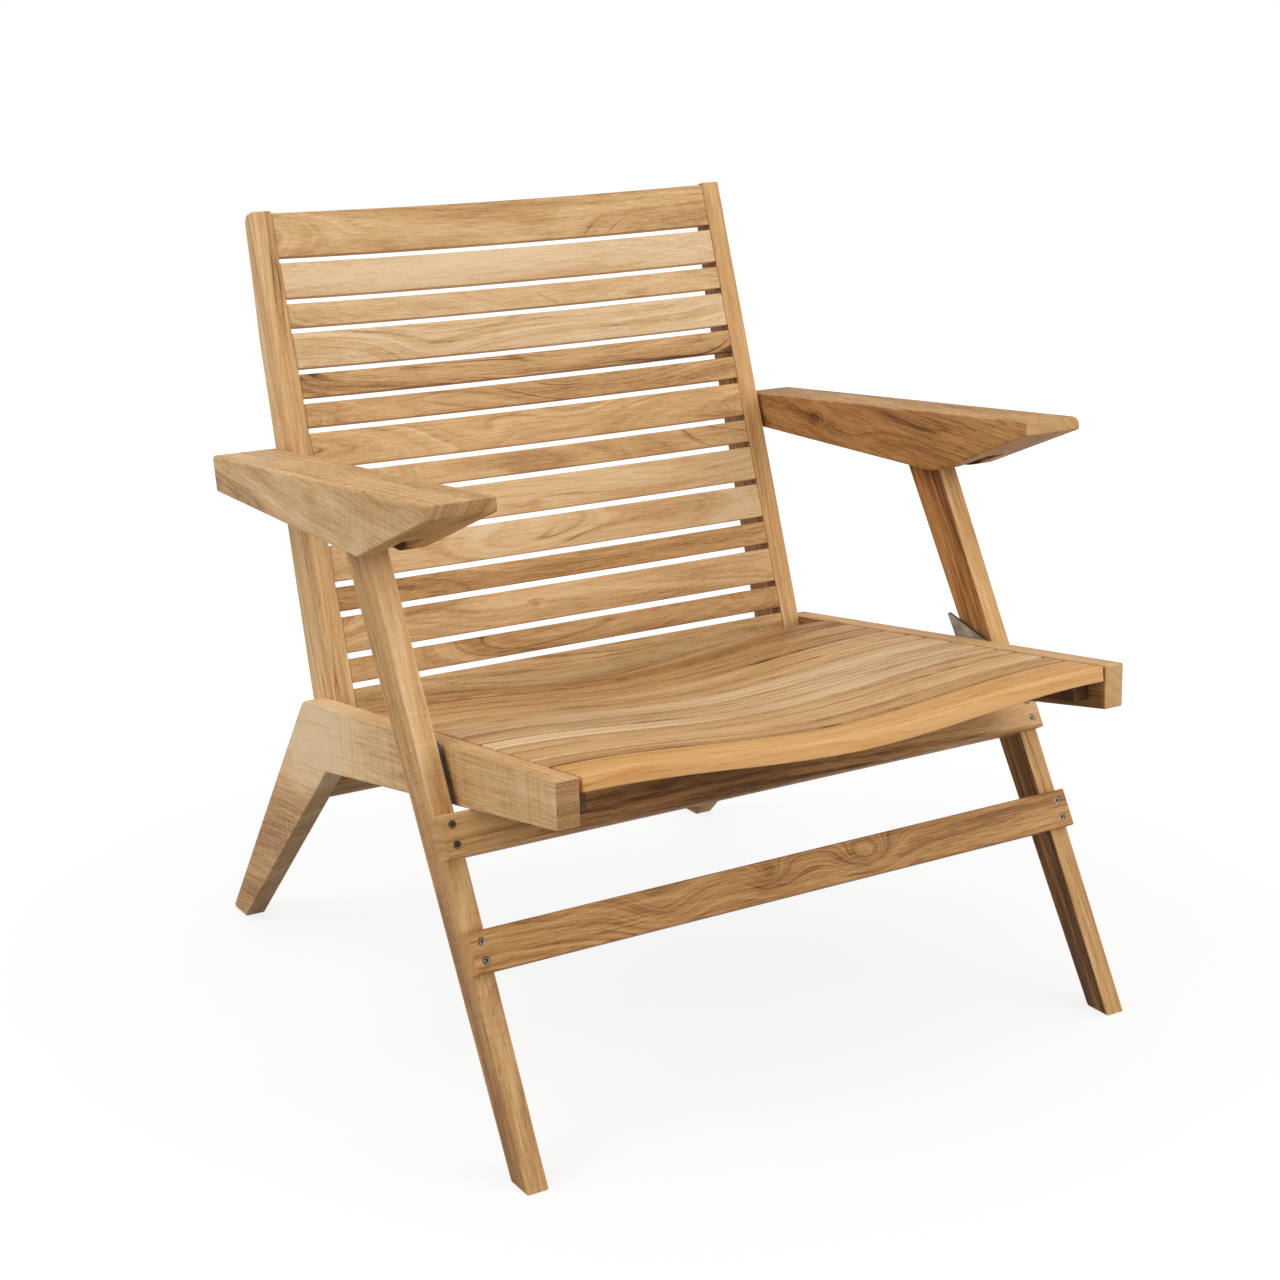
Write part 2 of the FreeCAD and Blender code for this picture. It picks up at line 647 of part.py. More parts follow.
def stretcher(up, height):
    shape = board(stretcher_section(up, height), -LEG_OUTER_X, LEG_OUTER_X)
    front_edges = []
    for edge in shape.Edges:
        place = edge.CenterOfMass
        depth = ((place.y - LEG.start[0]) * LEG.across[0]
                 + (place.z - LEG.start[1]) * LEG.across[1])
        if edge.Length > LEG_OUTER_X and depth < 0.0:
            front_edges.append(edge)
    shape = shape.makeFillet(BOARD_EASE, front_edges)
    holes = []
    for hole in stretcher_screws_right(up, height):
        holes += [hole, mirrored(hole)]
    return shape.cut(holes)


def plate_outline():
    """The hinge plate: a slanted top, a rear edge beside the leg, and a lobe round its pin."""
    across = LEG_PIVOT[0] - LEG.start[0]
    rise = LEG_PIVOT[1]
    pin_up = across * LEG.along[0] + rise * LEG.along[1]
    pin_back = across * LEG.across[0] + rise * LEG.across[1]
    corners = [
        LEG.at(PLATE_TIP_UP, PLATE_TIP_BACK) + (PLATE_CORNER_RADIUS,),
        LEG.at(PLATE_FRONT_UP, PLATE_FRONT_BACK) + (PLATE_CORNER_RADIUS,),
        LEG.at(PLATE_LOW_UP, PLATE_FRONT_BACK) + (PLATE_CORNER_RADIUS,),
        LEG.at(PLATE_LOW_UP, PLATE_LOW_BACK),
        LEG.at(pin_up - PLATE_LOBE_RADIUS, pin_back),
        LEG.at(pin_up, pin_back + PLATE_LOBE_RADIUS),
        LEG.at(pin_up + PLATE_LOBE_RADIUS, pin_back),
        LEG.at(PLATE_REAR_UP, PLATE_REAR_BACK),
    ]
    return corners


def hinge_plate():
    shape = board(plate_outline(), PLATE_INNER_X, PLATE_OUTER_X)
    lobe = rod(LEG_PIVOT, PLATE_INNER_X, PLATE_OUTER_X, PLATE_LOBE_RADIUS)
    shape = shape.fuse(lobe).removeSplitter()
    hole = rod(LEG_PIVOT, PLATE_INNER_X, PLATE_OUTER_X, PIN_RADIUS)
    return shape.cut([hole] + plate_screws_right())


def plate_pad():
    """The thin dark pad between the hinge plate and the front leg."""
    slant = (PLATE_TIP_UP - PLATE_FRONT_UP) / (PLATE_TIP_BACK - PLATE_FRONT_BACK)
    front = PLATE_FRONT_BACK + PAD_INSET
    back = leg_width(PLATE_LOW_UP) - PAD_INSET
    front_up = PLATE_FRONT_UP + slant * PAD_INSET - PAD_INSET
    back_up = front_up + slant * (back - front)
    low = PLATE_LOW_UP + PAD_INSET
    corners = [LEG.at(back_up, back), LEG.at(front_up, front), LEG.at(low, front),
               LEG.at(low, back)]
    return board(corners, PLATE_OUTER_X, LEG_INNER_X).cut(plate_screws_right())


def plate_screws_right():
    """Three countersunk screws through the hinge plate and its pad into the leg."""
    front = PLATE_FRONT_BACK + PLATE_SCREW_EDGE
    back = leg_width(PLATE_LOW_UP) - PLATE_SCREW_EDGE
    low = PLATE_LOW_UP + PLATE_SCREW_EDGE
    high = PLATE_FRONT_UP + PLATE_SCREW_ABOVE_FRONT
    screws = []
    for up, across in ((low, front), (low, back), (high, back)):
        y, z = LEG.at(up, across)
        head = FreeCAD.Vector(PLATE_INNER_X, y, z)
        screws.append(screw(head, FreeCAD.Vector(1, 0, 0), PLATE_SCREW_LENGTH))
    return screws


def leg_pivot_pin():
    """The headed pin that is riveted in the hinge plate and runs in the side board."""
    shank = rod(LEG_PIVOT, SIDE_BOARD_OUTER_X - PIN_IN_BOARD, PLATE_OUTER_X, PIN_RADIUS)
    head = rod(LEG_PIVOT, PLATE_OUTER_X, PLATE_OUTER_X + PIN_HEAD_THICKNESS, PIN_HEAD_RADIUS)
    return shank.fuse(head).removeSplitter()


# Armrests

def arm_slot():
    """Space cut up into the armrest for the top of the front leg, over its whole travel."""
    top = FRONT_LEG_PIN_UP + leg_width(FRONT_LEG_PIN_UP) / 2.0
    radius = leg_width(top) / 2.0 + SLOT_END_CLEARANCE
    front_angle = math.radians(SLOT_FRONT_SLOPE)
    front_normal = (-math.sin(front_angle), math.cos(front_angle))
    half_taper = math.degrees(math.atan(FRONT_LEG_TAPER)) / 2.0
    folded = math.radians(FULL_FOLD - FRONT_LEG_LEAN - 2.0 * half_taper)
    rear_normal = (math.cos(folded), math.sin(folded))
    closeness = 1.0 + front_normal[0] * rear_normal[0] + front_normal[1] * rear_normal[1]
    roof = (LEG_PIN[0] + (front_normal[0] + rear_normal[0]) * radius / closeness,
            LEG_PIN[1] + (front_normal[1] + rear_normal[1]) * radius / closeness)
    below = LEG_PIN[1] - ARM_UNDERSIDE_BELOW_LEG_PIN - LEG_THICKNESS
    rear_run = (roof[1] - below) / rear_normal[0]
    rear = (roof[0] + rear_run * rear_normal[1], below)
    front = (LEG_PIN[0] - ARM_FRONT_PAST_LEG_PIN,
             roof[1] - (roof[0] - LEG_PIN[0] + ARM_FRONT_PAST_LEG_PIN) * math.tan(front_angle))
    corners = [front, roof + (radius,), rear, (front[0], below)]
    return board(corners, LEG_INNER_X - SLOT_SIDE_CLEARANCE, LEG_OUTER_X + SLOT_SIDE_CLEARANCE)


def arm_pin_span():
    """Both ends, across the chair, of the pin between an armrest and its stile."""
    return (STILE_OUTER_X - PIN_IN_STILE, ARM_INNER_X + ARM_PIN_IN_ARM)


def leg_top_pin_span():
    """Both ends, across the chair, of the pin between an armrest and its front leg."""
    return (LEG_INNER_X - SLOT_SIDE_CLEARANCE - PIN_IN_ARM,
            LEG_OUTER_X + SLOT_SIDE_CLEARANCE + PIN_IN_ARM)


def armrest():
    front_y = LEG_PIN[0] - ARM_FRONT_PAST_LEG_PIN
    under_z = LEG_PIN[1] - ARM_UNDERSIDE_BELOW_LEG_PIN
    rear_y = ARM_PIN[0] + ARM_REAR_PAST_BACK_PIN
    rear_top_y = rear_y + ARM_REAR_HEIGHT * math.tan(math.radians(ARM_REAR_LEAN))
    rear_top_z = under_z + ARM_REAR_HEIGHT
    front_top_z = rear_top_z + (rear_top_y - front_y) * math.tan(math.radians(ARM_TOP_SLOPE))
    corners = [
        (front_y, front_top_z),
        (rear_top_y, rear_top_z),
        (rear_y, under_z),
        (LEG_PIN[0] - ARM_FLAT_PAST_LEG_PIN, under_z),
        (front_y, front_top_z - ARM_NOSE_HEIGHT),
    ]
    shape = board(corners, ARM_INNER_X, ARM_OUTER_X)
    shape = eased(shape, BOARD_EASE, ARM_INNER_X, ARM_OUTER_X)
    arm_low, arm_high = arm_pin_span()
    top_low, top_high = leg_top_pin_span()
    holes = [arm_slot(), rod(ARM_PIN, arm_low, arm_high, PIN_RADIUS),
             rod(LEG_PIN, top_low, top_high, PIN_RADIUS)]
    return shape.cut(holes)


# The whole chair

def pair(nodes, name, shape):
    """Files a right hand piece and its left hand twin under their names."""
    nodes[name + "_right"] = shape
    nodes[name + "_left"] = mirrored(shape)


def chair():
    """Every node of the chair by name, in the drawing position."""
    nodes = {}
    pair(nodes, "side_board", side_board())
    nodes["rear_cross_rail"] = rear_cross_rail()
    seat_spans = seat_slat_spans()
    for i, span in enumerate(seat_spans):
        nodes["seat_slat_%02d" % (i + 1)] = seat_slat(span, i == len(seat_spans) - 1)
    pair(nodes, "seat_cleat", seat_cleat())
    slat_screws = []
    for span in seat_spans:
        slat_screws += slat_screws_of(span)
    nodes["seat_slat_screws"] = Part.makeCompound(slat_screws)
    nodes["cleat_screws"] = both(Part.makeCompound(cleat_screws_right()))
    back_pin = rod(BACK_PIN, STILE_OUTER_X - PIN_IN_STILE, SIDE_BOARD_INNER_X + PIN_IN_BOARD,
                   PIN_RADIUS)
    pair(nodes, "back_pivot_pin", back_pin)

    pair(nodes, "back_stile", back_stile())
    for i, span in enumerate(back_slat_spans()):
        nodes["back_slat_%02d" % (i + 1)] = back_slat(span)

    pair(nodes, "front_leg", front_leg())
    upper, lower = stretcher_rows()
    nodes["upper_stretcher"] = stretcher(upper[0], upper[1])
    nodes["lower_stretcher"] = stretcher(lower[0], lower[1])
    screws = stretcher_screws_right(upper[0], upper[1]) + stretcher_screws_right(lower[0], lower[1])
    nodes["stretcher_screws"] = both(Part.makeCompound(screws))
    pair(nodes, "hinge_plate", hinge_plate())
    pair(nodes, "plate_pad", plate_pad())
    nodes["plate_screws"] = both(Part.makeCompound(plate_screws_right()))
    pair(nodes, "leg_pivot_pin", leg_pivot_pin())
    pair(nodes, "leg_pivot_washer", ring(LEG_PIVOT, PLATE_WASHER_X, PLATE_INNER_X, WASHER_RADIUS))

    pair(nodes, "armrest", armrest())
    arm_low, arm_high = arm_pin_span()
    pair(nodes, "arm_pivot_pin", rod(ARM_PIN, arm_low, arm_high, PIN_RADIUS))
    washer = ring(ARM_PIN, STILE_OUTER_X + FACE_CLEARANCE, ARM_INNER_X, WASHER_RADIUS)
    pair(nodes, "arm_pivot_washer", washer)
    top_low, top_high = leg_top_pin_span()
    pair(nodes, "leg_top_pin", rod(LEG_PIN, top_low, top_high, PIN_RADIUS))
    return nodes


def main():
    nodes = chair()
    box = Part.makeCompound(list(nodes.values())).optimalBoundingBox(False, False)
    shift = FreeCAD.Vector(0, -(box.YMin + box.YMax) / 2.0, -box.ZMin)
    os.makedirs("parts", exist_ok=True)
    for name, shape in nodes.items():
        shape.translate(shift)
        shape.exportStep("parts/" + name + ".step")
    print("nodes", len(nodes), "box", box.XLength, box.YLength, box.ZLength)
    pins = [("back pin", BACK_PIN), ("arm pin", ARM_PIN), ("leg top pin", LEG_PIN),
            ("leg pivot", LEG_PIVOT)]
    for label, pin in pins:
        print("%s y %.3f z %.3f" % (label, pin[0] + shift.y, pin[1] + shift.z))


main()
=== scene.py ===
import math

import bpy
from mathutils import Matrix, Vector


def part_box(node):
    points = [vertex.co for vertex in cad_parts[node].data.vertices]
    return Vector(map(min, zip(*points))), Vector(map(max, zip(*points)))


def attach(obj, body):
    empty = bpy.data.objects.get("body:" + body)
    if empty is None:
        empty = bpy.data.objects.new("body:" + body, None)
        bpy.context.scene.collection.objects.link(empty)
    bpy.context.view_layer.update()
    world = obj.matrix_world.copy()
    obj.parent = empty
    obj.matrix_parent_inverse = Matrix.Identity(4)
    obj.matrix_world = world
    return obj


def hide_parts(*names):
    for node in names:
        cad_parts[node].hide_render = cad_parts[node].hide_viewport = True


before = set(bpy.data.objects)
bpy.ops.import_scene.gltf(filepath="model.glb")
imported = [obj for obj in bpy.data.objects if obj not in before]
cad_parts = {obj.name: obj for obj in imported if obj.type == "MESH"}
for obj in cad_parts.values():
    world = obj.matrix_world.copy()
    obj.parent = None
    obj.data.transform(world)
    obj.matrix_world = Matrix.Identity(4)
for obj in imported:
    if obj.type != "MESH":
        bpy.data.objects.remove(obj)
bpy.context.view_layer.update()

MM = 0.001
ACROSS = Vector((1.0, 0.0, 0.0))

# Camera, set up at the angle of the photograph
CAMERA_PLACE = Vector((-1.134475, -1.912267, 0.969028))
CAMERA_TURN = math.radians(-30.764)
CAMERA_RISE = math.radians(12.271)
CAMERA_ROLL = math.radians(-1.0)
CAMERA_LENS = 65.104
CAMERA_SENSOR = 36.0
CAMERA_SHIFT_Y = -0.109375

# Slopes of the boards in the side view, in degrees
SEAT_SLOPE = 7.16
BACK_LEAN = 18.45
FRONT_LEG_LEAN = 28.5
ARM_SLOPE = 4.27

# Slats
SEAT_DISH = 15.0 * MM
SEAT_CLEAT_INNER_X = 260.0 * MM
SEAT_LAST_CORNER_CUT = 9.0 * MM
BACK_BOW = 13.0 * MM
BACK_TENON_LENGTH = 7.0 * MM
BACK_TENON_SHOULDER = 2.75 * MM
SLAT_EASE = 1.2 * MM
SLAT_SEGMENTS = 96
# Edges longer than this run along a slat, and faces larger than this are its ends
SLAT_LONG_EDGE = 100.0 * MM
SLAT_END_AREA = 20.0 * MM * MM

# Armrests, in the side view: y to the rear and z up
ARM_TOP_FRONT = Vector((0.0, -250.0, 569.1)) * MM
ARM_NOSE_FRONT = Vector((0.0, -250.0, 555.7)) * MM
ARM_NOSE_REAR = Vector((0.0, -109.8, 498.2)) * MM
ARM_REAR_FOOT = Vector((0.0, 226.0, 498.2)) * MM
ARM_REAR_LEAN = 11.6
ARM_REAR_SPARE = 12.0 * MM
ARM_LONG_EDGE = 400.0 * MM
ARM_EASE = 1.8 * MM
ARM_CORNER_ROUND = {"armrest_left": 3.0 * MM, "armrest_right": 10.0 * MM}
ARM_NOSE_ROUND = {"armrest_left": 2.0 * MM, "armrest_right": 14.0 * MM}
ARM_ROUND_SEGMENTS = 5
ARM_SLOT_INNER_X = 306.6 * MM
ARM_SLOT_OUTER_X = 328.4 * MM
ARM_SLOT_BLOCK_LOW = Vector((0.0, -260.0, 477.2)) * MM
ARM_SLOT_BLOCK_HIGH = Vector((0.0, 51.2, 555.5)) * MM
ARM_SLOT_ROOF = Vector((0.0, -38.8, 545.5)) * MM
ARM_SLOT_FRONT_SLOPE = -11.9
ARM_SLOT_REAR_SLOPE = 42.7
ARM_SLOT_ROUND = 13.3 * MM
ARM_SLOT_SEGMENTS = 12
ARM_PIN_RADIUS = 4.0 * MM
# Place of each pin in the side view, and its inner and outer end across the chair
ARM_PIN_HOLES = ((Vector((0.0, 215.2, 510.2)) * MM, 280.0 * MM, 301.5 * MM),
                 (Vector((0.0, -46.5, 517.6)) * MM, 294.6 * MM, 340.4 * MM))

# Screws at the ends of the stretchers
SCREW_HEAD_RADIUS = 4.2 * MM
SCREW_HEAD_DEPTH = 2.4 * MM
SCREW_SHANK_RADIUS = 2.2 * MM
SCREW_SOCKET_RADIUS = 1.7 * MM
SCREW_SOCKET_DEPTH = 1.6 * MM
SCREW_SOCKET_SIDES = 6
SCREW_RIM_EASE = 0.5 * MM
SCREW_RIM_SEGMENTS = 2
SCREW_SUNK = 0.4 * MM

# Edges and round faces of every new piece
EASE_SEGMENTS = 3
SHARP_EDGE = math.radians(40.0)
SMOOTH_CORNER = math.radians(35.0)
ROUND_SIDES = 32

# Two places nearer than this are one, and a face this square to a direction looks that way
CLOSE = 1.0 * MM
SQUARE = 0.99


def upward(slope):
    """Direction up and square to a board that falls to the rear by this slope in degrees."""
    angle = math.radians(slope)
    return Vector((0.0, math.sin(angle), math.cos(angle)))


def rearward(slope):
    """Direction to the rear along a board that falls to the rear by this slope in degrees."""
    angle = math.radians(slope)
    return Vector((0.0, math.cos(angle), -math.sin(angle)))


def reach(node, direction):
    """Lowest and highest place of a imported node, measured along a direction."""
    places = [vertex.co.dot(direction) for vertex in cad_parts[node].data.vertices]
    return min(places), max(places)


# Modelling

def select_only(piece):
    """Selects a piece, makes it the active one and leaves the rest alone."""
    bpy.ops.object.select_all(action="DESELECT")
    piece.select_set(True)
    bpy.context.view_layer.objects.active = piece


def start_block(name, place, size, slope):
    """A block at its place, size and slope, in edit mode, with its place in its mesh."""
    bpy.ops.object.select_all(action="DESELECT")
    bpy.ops.mesh.primitive_cube_add(size=1.0, location=place,
                                    rotation=(-math.radians(slope), 0.0, 0.0))
    block = bpy.context.active_object
    block.name = name
    block.data.name = name
    block.scale = size
    bpy.ops.object.transform_apply(location=True, rotation=True, scale=True)
    bpy.ops.object.mode_set(mode="EDIT")
    return block


def side_view_block(name, low, high, inner, outer):
    """A level block between two places in the side view and two places across the chair."""
    place = (low + high) / 2.0
    place.x = (inner + outer) / 2.0
    size = (abs(outer - inner), high.y - low.y, high.z - low.z)
    return start_block(name, place, size, 0.0)


def start_rod(sides, radius, length, place, turn):
    """A round or many sided rod, in object mode, with its middle at the place."""
    bpy.ops.mesh.primitive_cylinder_add(vertices=sides, radius=radius, depth=length,
                                        location=place, rotation=turn)
    return bpy.context.active_object


def pick(piece, kind, chosen):
    """Selects the faces, edges or vertices of a mesh that the rule chooses, and nothing else."""
    bpy.ops.mesh.select_mode(type=kind)
    bpy.ops.mesh.select_all(action="DESELECT")
    bpy.ops.object.mode_set(mode="OBJECT")
    mesh = piece.data
    parts = {"VERT": mesh.vertices, "EDGE": mesh.edges, "FACE": mesh.polygons}[kind]
    for part in parts:
        part.select = chosen(mesh, part)
    bpy.ops.object.mode_set(mode="EDIT")


def edge_run(mesh, edge):
    """From one end of an edge to the other."""
    return mesh.vertices[edge.vertices[1]].co - mesh.vertices[edge.vertices[0]].co


def edge_middle(mesh, edge):
    """The place halfway along an edge."""
    return (mesh.vertices[edge.vertices[1]].co + mesh.vertices[edge.vertices[0]].co) / 2.0


def cut_off(point, outward):
    """Cuts the block in edit mode along a plane and closes it, and leaves away the outer side."""
    bpy.ops.mesh.select_all(action="SELECT")
    bpy.ops.mesh.bisect(plane_co=point, plane_no=outward, clear_outer=True, use_fill=True)


def cut_away(piece, cutter, name):
    """Cuts the space of one piece out of another, and takes the cutter away."""
    bpy.context.view_layer.objects.active = piece
    hollow = piece.modifiers.new(name, "BOOLEAN")
    hollow.object = cutter
    hollow.operation = "DIFFERENCE"
    bpy.ops.object.modifier_apply(modifier=hollow.name)
    bpy.data.objects.remove(cutter)


def smooth_faces(piece):
    """Smooth shading over the rounded edges, and sharp at the corners that are left."""
    select_only(piece)
    bpy.ops.object.shade_smooth_by_angle(angle=SMOOTH_CORNER)
    bpy.ops.object.select_all(action="DESELECT")


def ease_edges(piece, width):
    """Rounds every sharp edge and leaves the flat and curved faces smooth."""
    bpy.ops.object.mode_set(mode="OBJECT")
    rounding = piece.modifiers.new("eased edges", "BEVEL")
    rounding.width = width
    rounding.segments = EASE_SEGMENTS
    rounding.limit_method = "ANGLE"
    rounding.angle_limit = SHARP_EDGE
    rounding.use_clamp_overlap = True
    bpy.ops.object.modifier_apply(modifier=rounding.name)
    smooth_faces(piece)


def copy_to(piece, name, offset):
    """A copy of a finished piece, with a mesh of its own, moved to another place."""
    select_only(piece)
    bpy.ops.object.duplicate()
    copy = bpy.context.active_object
    copy.name = copy.data.name = name
    bpy.ops.transform.translate(value=offset)
    bpy.ops.object.transform_apply(location=True, rotation=True, scale=True)
    bpy.ops.object.select_all(action="DESELECT")
    return copy


def stand_in(piece, node, body):
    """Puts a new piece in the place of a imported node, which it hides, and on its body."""
    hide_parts(node)
    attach(piece, body)


# Slats

def straight_slat(node, slope, dish, bow):
    """Middle and size of a slat before its dish and its bow are bent into it."""
    front, rear = reach(node, rearward(slope))
    low, top = reach(node, upward(slope))
    left, right = reach(node, ACROSS)
    low, rear = low + dish, rear - bow
    place = rearward(slope) * ((front + rear) / 2.0) + upward(slope) * ((low + top) / 2.0)
    return place, Vector((right - left, rear - front, top - low))


def make_slats(nodes, slope, dish, bow, make_slat):
    """A slat for each node. Of each size, one is modelled and the others are copied from it."""
    slats = {}
    finished = {}
    for node in nodes:
        place, size = straight_slat(node, slope, dish, bow)
        kind = tuple(round(length / MM) for length in size)
        if kind in finished:
            first, first_place = finished[kind]
            slats[node] = copy_to(first, "teak_" + node, place - first_place)
        else:
            slats[node] = make_slat("teak_" + node, place, size)
            finished[kind] = (slats[node], place)
    return slats


def cut_lengthwise(slat):
    """Divides the long edges of a slat, so that it can be bent."""
    pick(slat, "EDGE", lambda mesh, edge: abs(edge_run(mesh, edge).x) > SLAT_LONG_EDGE)
    bpy.ops.mesh.subdivide(number_cuts=SLAT_SEGMENTS - 1)


def push_middle(slat, push, falloff, half_length):
    """Pushes the middle of a slat out of line, the rest following in a smooth curve."""
    pick(slat, "VERT", lambda mesh, vertex: abs(vertex.co.x) < CLOSE)
    bpy.ops.transform.translate(
        value=push,
        use_proportional_edit=True,
        proportional_edit_falloff=falloff,
        proportional_size=half_length,
        use_proportional_connected=False,
    )


def dish_seat_slat(slat):
    """Lets the middle of a seat slat down, and eases its edges."""
    cut_lengthwise(slat)
    push_middle(slat, upward(SEAT_SLOPE) * -SEAT_DISH, "SMOOTH", SEAT_CLEAT_INNER_X)
    ease_edges(slat, SLAT_EASE)


def make_seat_slat(name, place, size):
    """A dished seat slat, flat over the cleats."""
    slat = start_block(name, place, size, SEAT_SLOPE)
    dish_seat_slat(slat)
    return slat


def make_last_seat_slat(name, place, size):
    """The rearmost seat slat, its upper and lower rear edges cut off at the ends."""
    slat = start_block(name, place, size, SEAT_SLOPE)
    along, up = rearward(SEAT_SLOPE), upward(SEAT_SLOPE)
    rear_edge = along.dot(place) + size.y / 2.0 - CLOSE
    pick(slat, "EDGE", lambda mesh, edge: abs(edge_run(mesh, edge).x) < CLOSE
         and edge_middle(mesh, edge).dot(along) > rear_edge
         and abs(edge_run(mesh, edge).dot(up)) > CLOSE)
    bpy.ops.mesh.bevel(offset=SEAT_LAST_CORNER_CUT, offset_type="WIDTH", segments=1)
    dish_seat_slat(slat)
    return slat


def make_back_slat(name, place, size):
    """A bowed back slat with a tenon at each end."""
    half_length = size.x / 2.0 - BACK_TENON_LENGTH
    slat = start_block(name, place, (2.0 * half_length, size.y, size.z), BACK_LEAN)
    cut_lengthwise(slat)
    push_middle(slat, rearward(BACK_LEAN) * BACK_BOW, "INVERSE_SQUARE", half_length)
    ease_edges(slat, SLAT_EASE)
    select_only(slat)
    bpy.ops.object.mode_set(mode="EDIT")
    for side in (-1.0, 1.0):
        pick(slat, "FACE", lambda mesh, face: face.normal.x * side > SQUARE
             and face.area > SLAT_END_AREA)
        bpy.ops.mesh.inset(thickness=BACK_TENON_SHOULDER - SLAT_EASE)
        bpy.ops.mesh.extrude_region_move(
            TRANSFORM_OT_translate={"value": (side * BACK_TENON_LENGTH, 0.0, 0.0)})
    bpy.ops.object.mode_set(mode="OBJECT")
    smooth_faces(slat)
    return slat


# Armrests

def make_armrest(node):
    """An armrest with a rising nose, and a slot underneath for the top of the front leg."""
    left, right = reach(node, ACROSS)
    side = 1.0 if left > 0.0 else -1.0
    low = Vector((0.0, ARM_TOP_FRONT.y, ARM_REAR_FOOT.z))
    high = Vector((0.0, ARM_REAR_FOOT.y + ARM_REAR_SPARE, ARM_TOP_FRONT.z))
    armrest = side_view_block("teak_" + node, low, high, left, right)
    cut_off(ARM_TOP_FRONT, upward(ARM_SLOPE))
    cut_off(ARM_REAR_FOOT, rearward(ARM_REAR_LEAN))
    nose = ARM_NOSE_REAR - ARM_NOSE_FRONT
    cut_off(ARM_NOSE_FRONT, Vector((0.0, nose.z, -nose.y)))

    pick(armrest, "EDGE", lambda mesh, edge: abs(edge_run(mesh, edge).x) > CLOSE
         and (edge_middle(mesh, edge) - ARM_NOSE_REAR).yz.length < CLOSE)
    bpy.ops.mesh.bevel(offset=ARM_NOSE_ROUND[node], segments=ARM_ROUND_SEGMENTS)
    outer_x = side * max(abs(left), abs(right))
    pick(armrest, "EDGE", lambda mesh, edge: abs(edge_run(mesh, edge).y) > ARM_LONG_EDGE
         and abs(edge_middle(mesh, edge).x - outer_x) < CLOSE
         and edge_middle(mesh, edge).z > ARM_REAR_FOOT.z + CLOSE)
    bpy.ops.mesh.bevel(offset=ARM_CORNER_ROUND[node], segments=ARM_ROUND_SEGMENTS)
    ease_edges(armrest, ARM_EASE)

    cut_away(armrest, make_slot_cutter(side), "slot")
    for place, inner, outer in ARM_PIN_HOLES:
        middle_x = side * (inner + outer) / 2.0
        pin = start_rod(ROUND_SIDES, ARM_PIN_RADIUS, outer - inner,
                        (middle_x, place.y, place.z), (0.0, math.radians(90.0), 0.0))
        cut_away(armrest, pin, "pin hole")
    smooth_faces(armrest)
    return armrest


def make_slot_cutter(side):
    """The space that the top of the front leg sweeps inside the armrest, with a round roof."""
    cutter = side_view_block("slot", ARM_SLOT_BLOCK_LOW, ARM_SLOT_BLOCK_HIGH,
                             side * ARM_SLOT_INNER_X, side * ARM_SLOT_OUTER_X)
    cut_off(ARM_SLOT_ROOF, upward(ARM_SLOT_FRONT_SLOPE))
    cut_off(ARM_SLOT_ROOF, upward(ARM_SLOT_REAR_SLOPE))
    pick(cutter, "EDGE", lambda mesh, edge: abs(edge_run(mesh, edge).x) > CLOSE
         and (edge_middle(mesh, edge) - ARM_SLOT_ROOF).yz.length < CLOSE)
    bpy.ops.mesh.bevel(offset=ARM_SLOT_ROUND, segments=ARM_SLOT_SEGMENTS)
    bpy.ops.object.mode_set(mode="OBJECT")
    return cutter


# Screws

def make_stretcher_screws():
    """Screws sunk a little into the stretchers, one modelled and the others copied from it."""
    up, inward = upward(FRONT_LEG_LEAN), rearward(FRONT_LEG_LEAN)
    places = [vertex.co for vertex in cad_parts["stretcher_screws"].data.vertices]
    places.sort(key=lambda place: place.dot(up))
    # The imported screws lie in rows, one above the other, with a screw at each side in a row
    rows = [[places[0]]]
    for last, place in zip(places, places[1:]):
        if (place - last).dot(up) > SCREW_HEAD_RADIUS:
            rows.append([])
        rows[-1].append(place)
    heads = []
    for row in rows:
        height = (row[0].dot(up) + row[-1].dot(up)) / 2.0
        front = min(place.dot(inward) for place in row)
        length = max(place.dot(inward) for place in row) - front
        x = max(place.x for place in row) - SCREW_HEAD_RADIUS
        for side in (-1.0, 1.0):
            heads.append(Vector((side * x, 0.0, 0.0)) + up * height + inward * (front + SCREW_SUNK))
    # All screws have one length, so that of the last row holds for the rest
    first = make_screw(heads[0], inward, length - SCREW_SUNK)
    screws = [first] + [copy_to(first, "screw", head - heads[0]) for head in heads[1:]]
    for screw in screws:
        screw.select_set(True)
    bpy.context.view_layer.objects.active = first
    bpy.ops.object.join()
    first.name = first.data.name = "stretcher_socket_screws"
    bpy.ops.object.select_all(action="DESELECT")
    return first


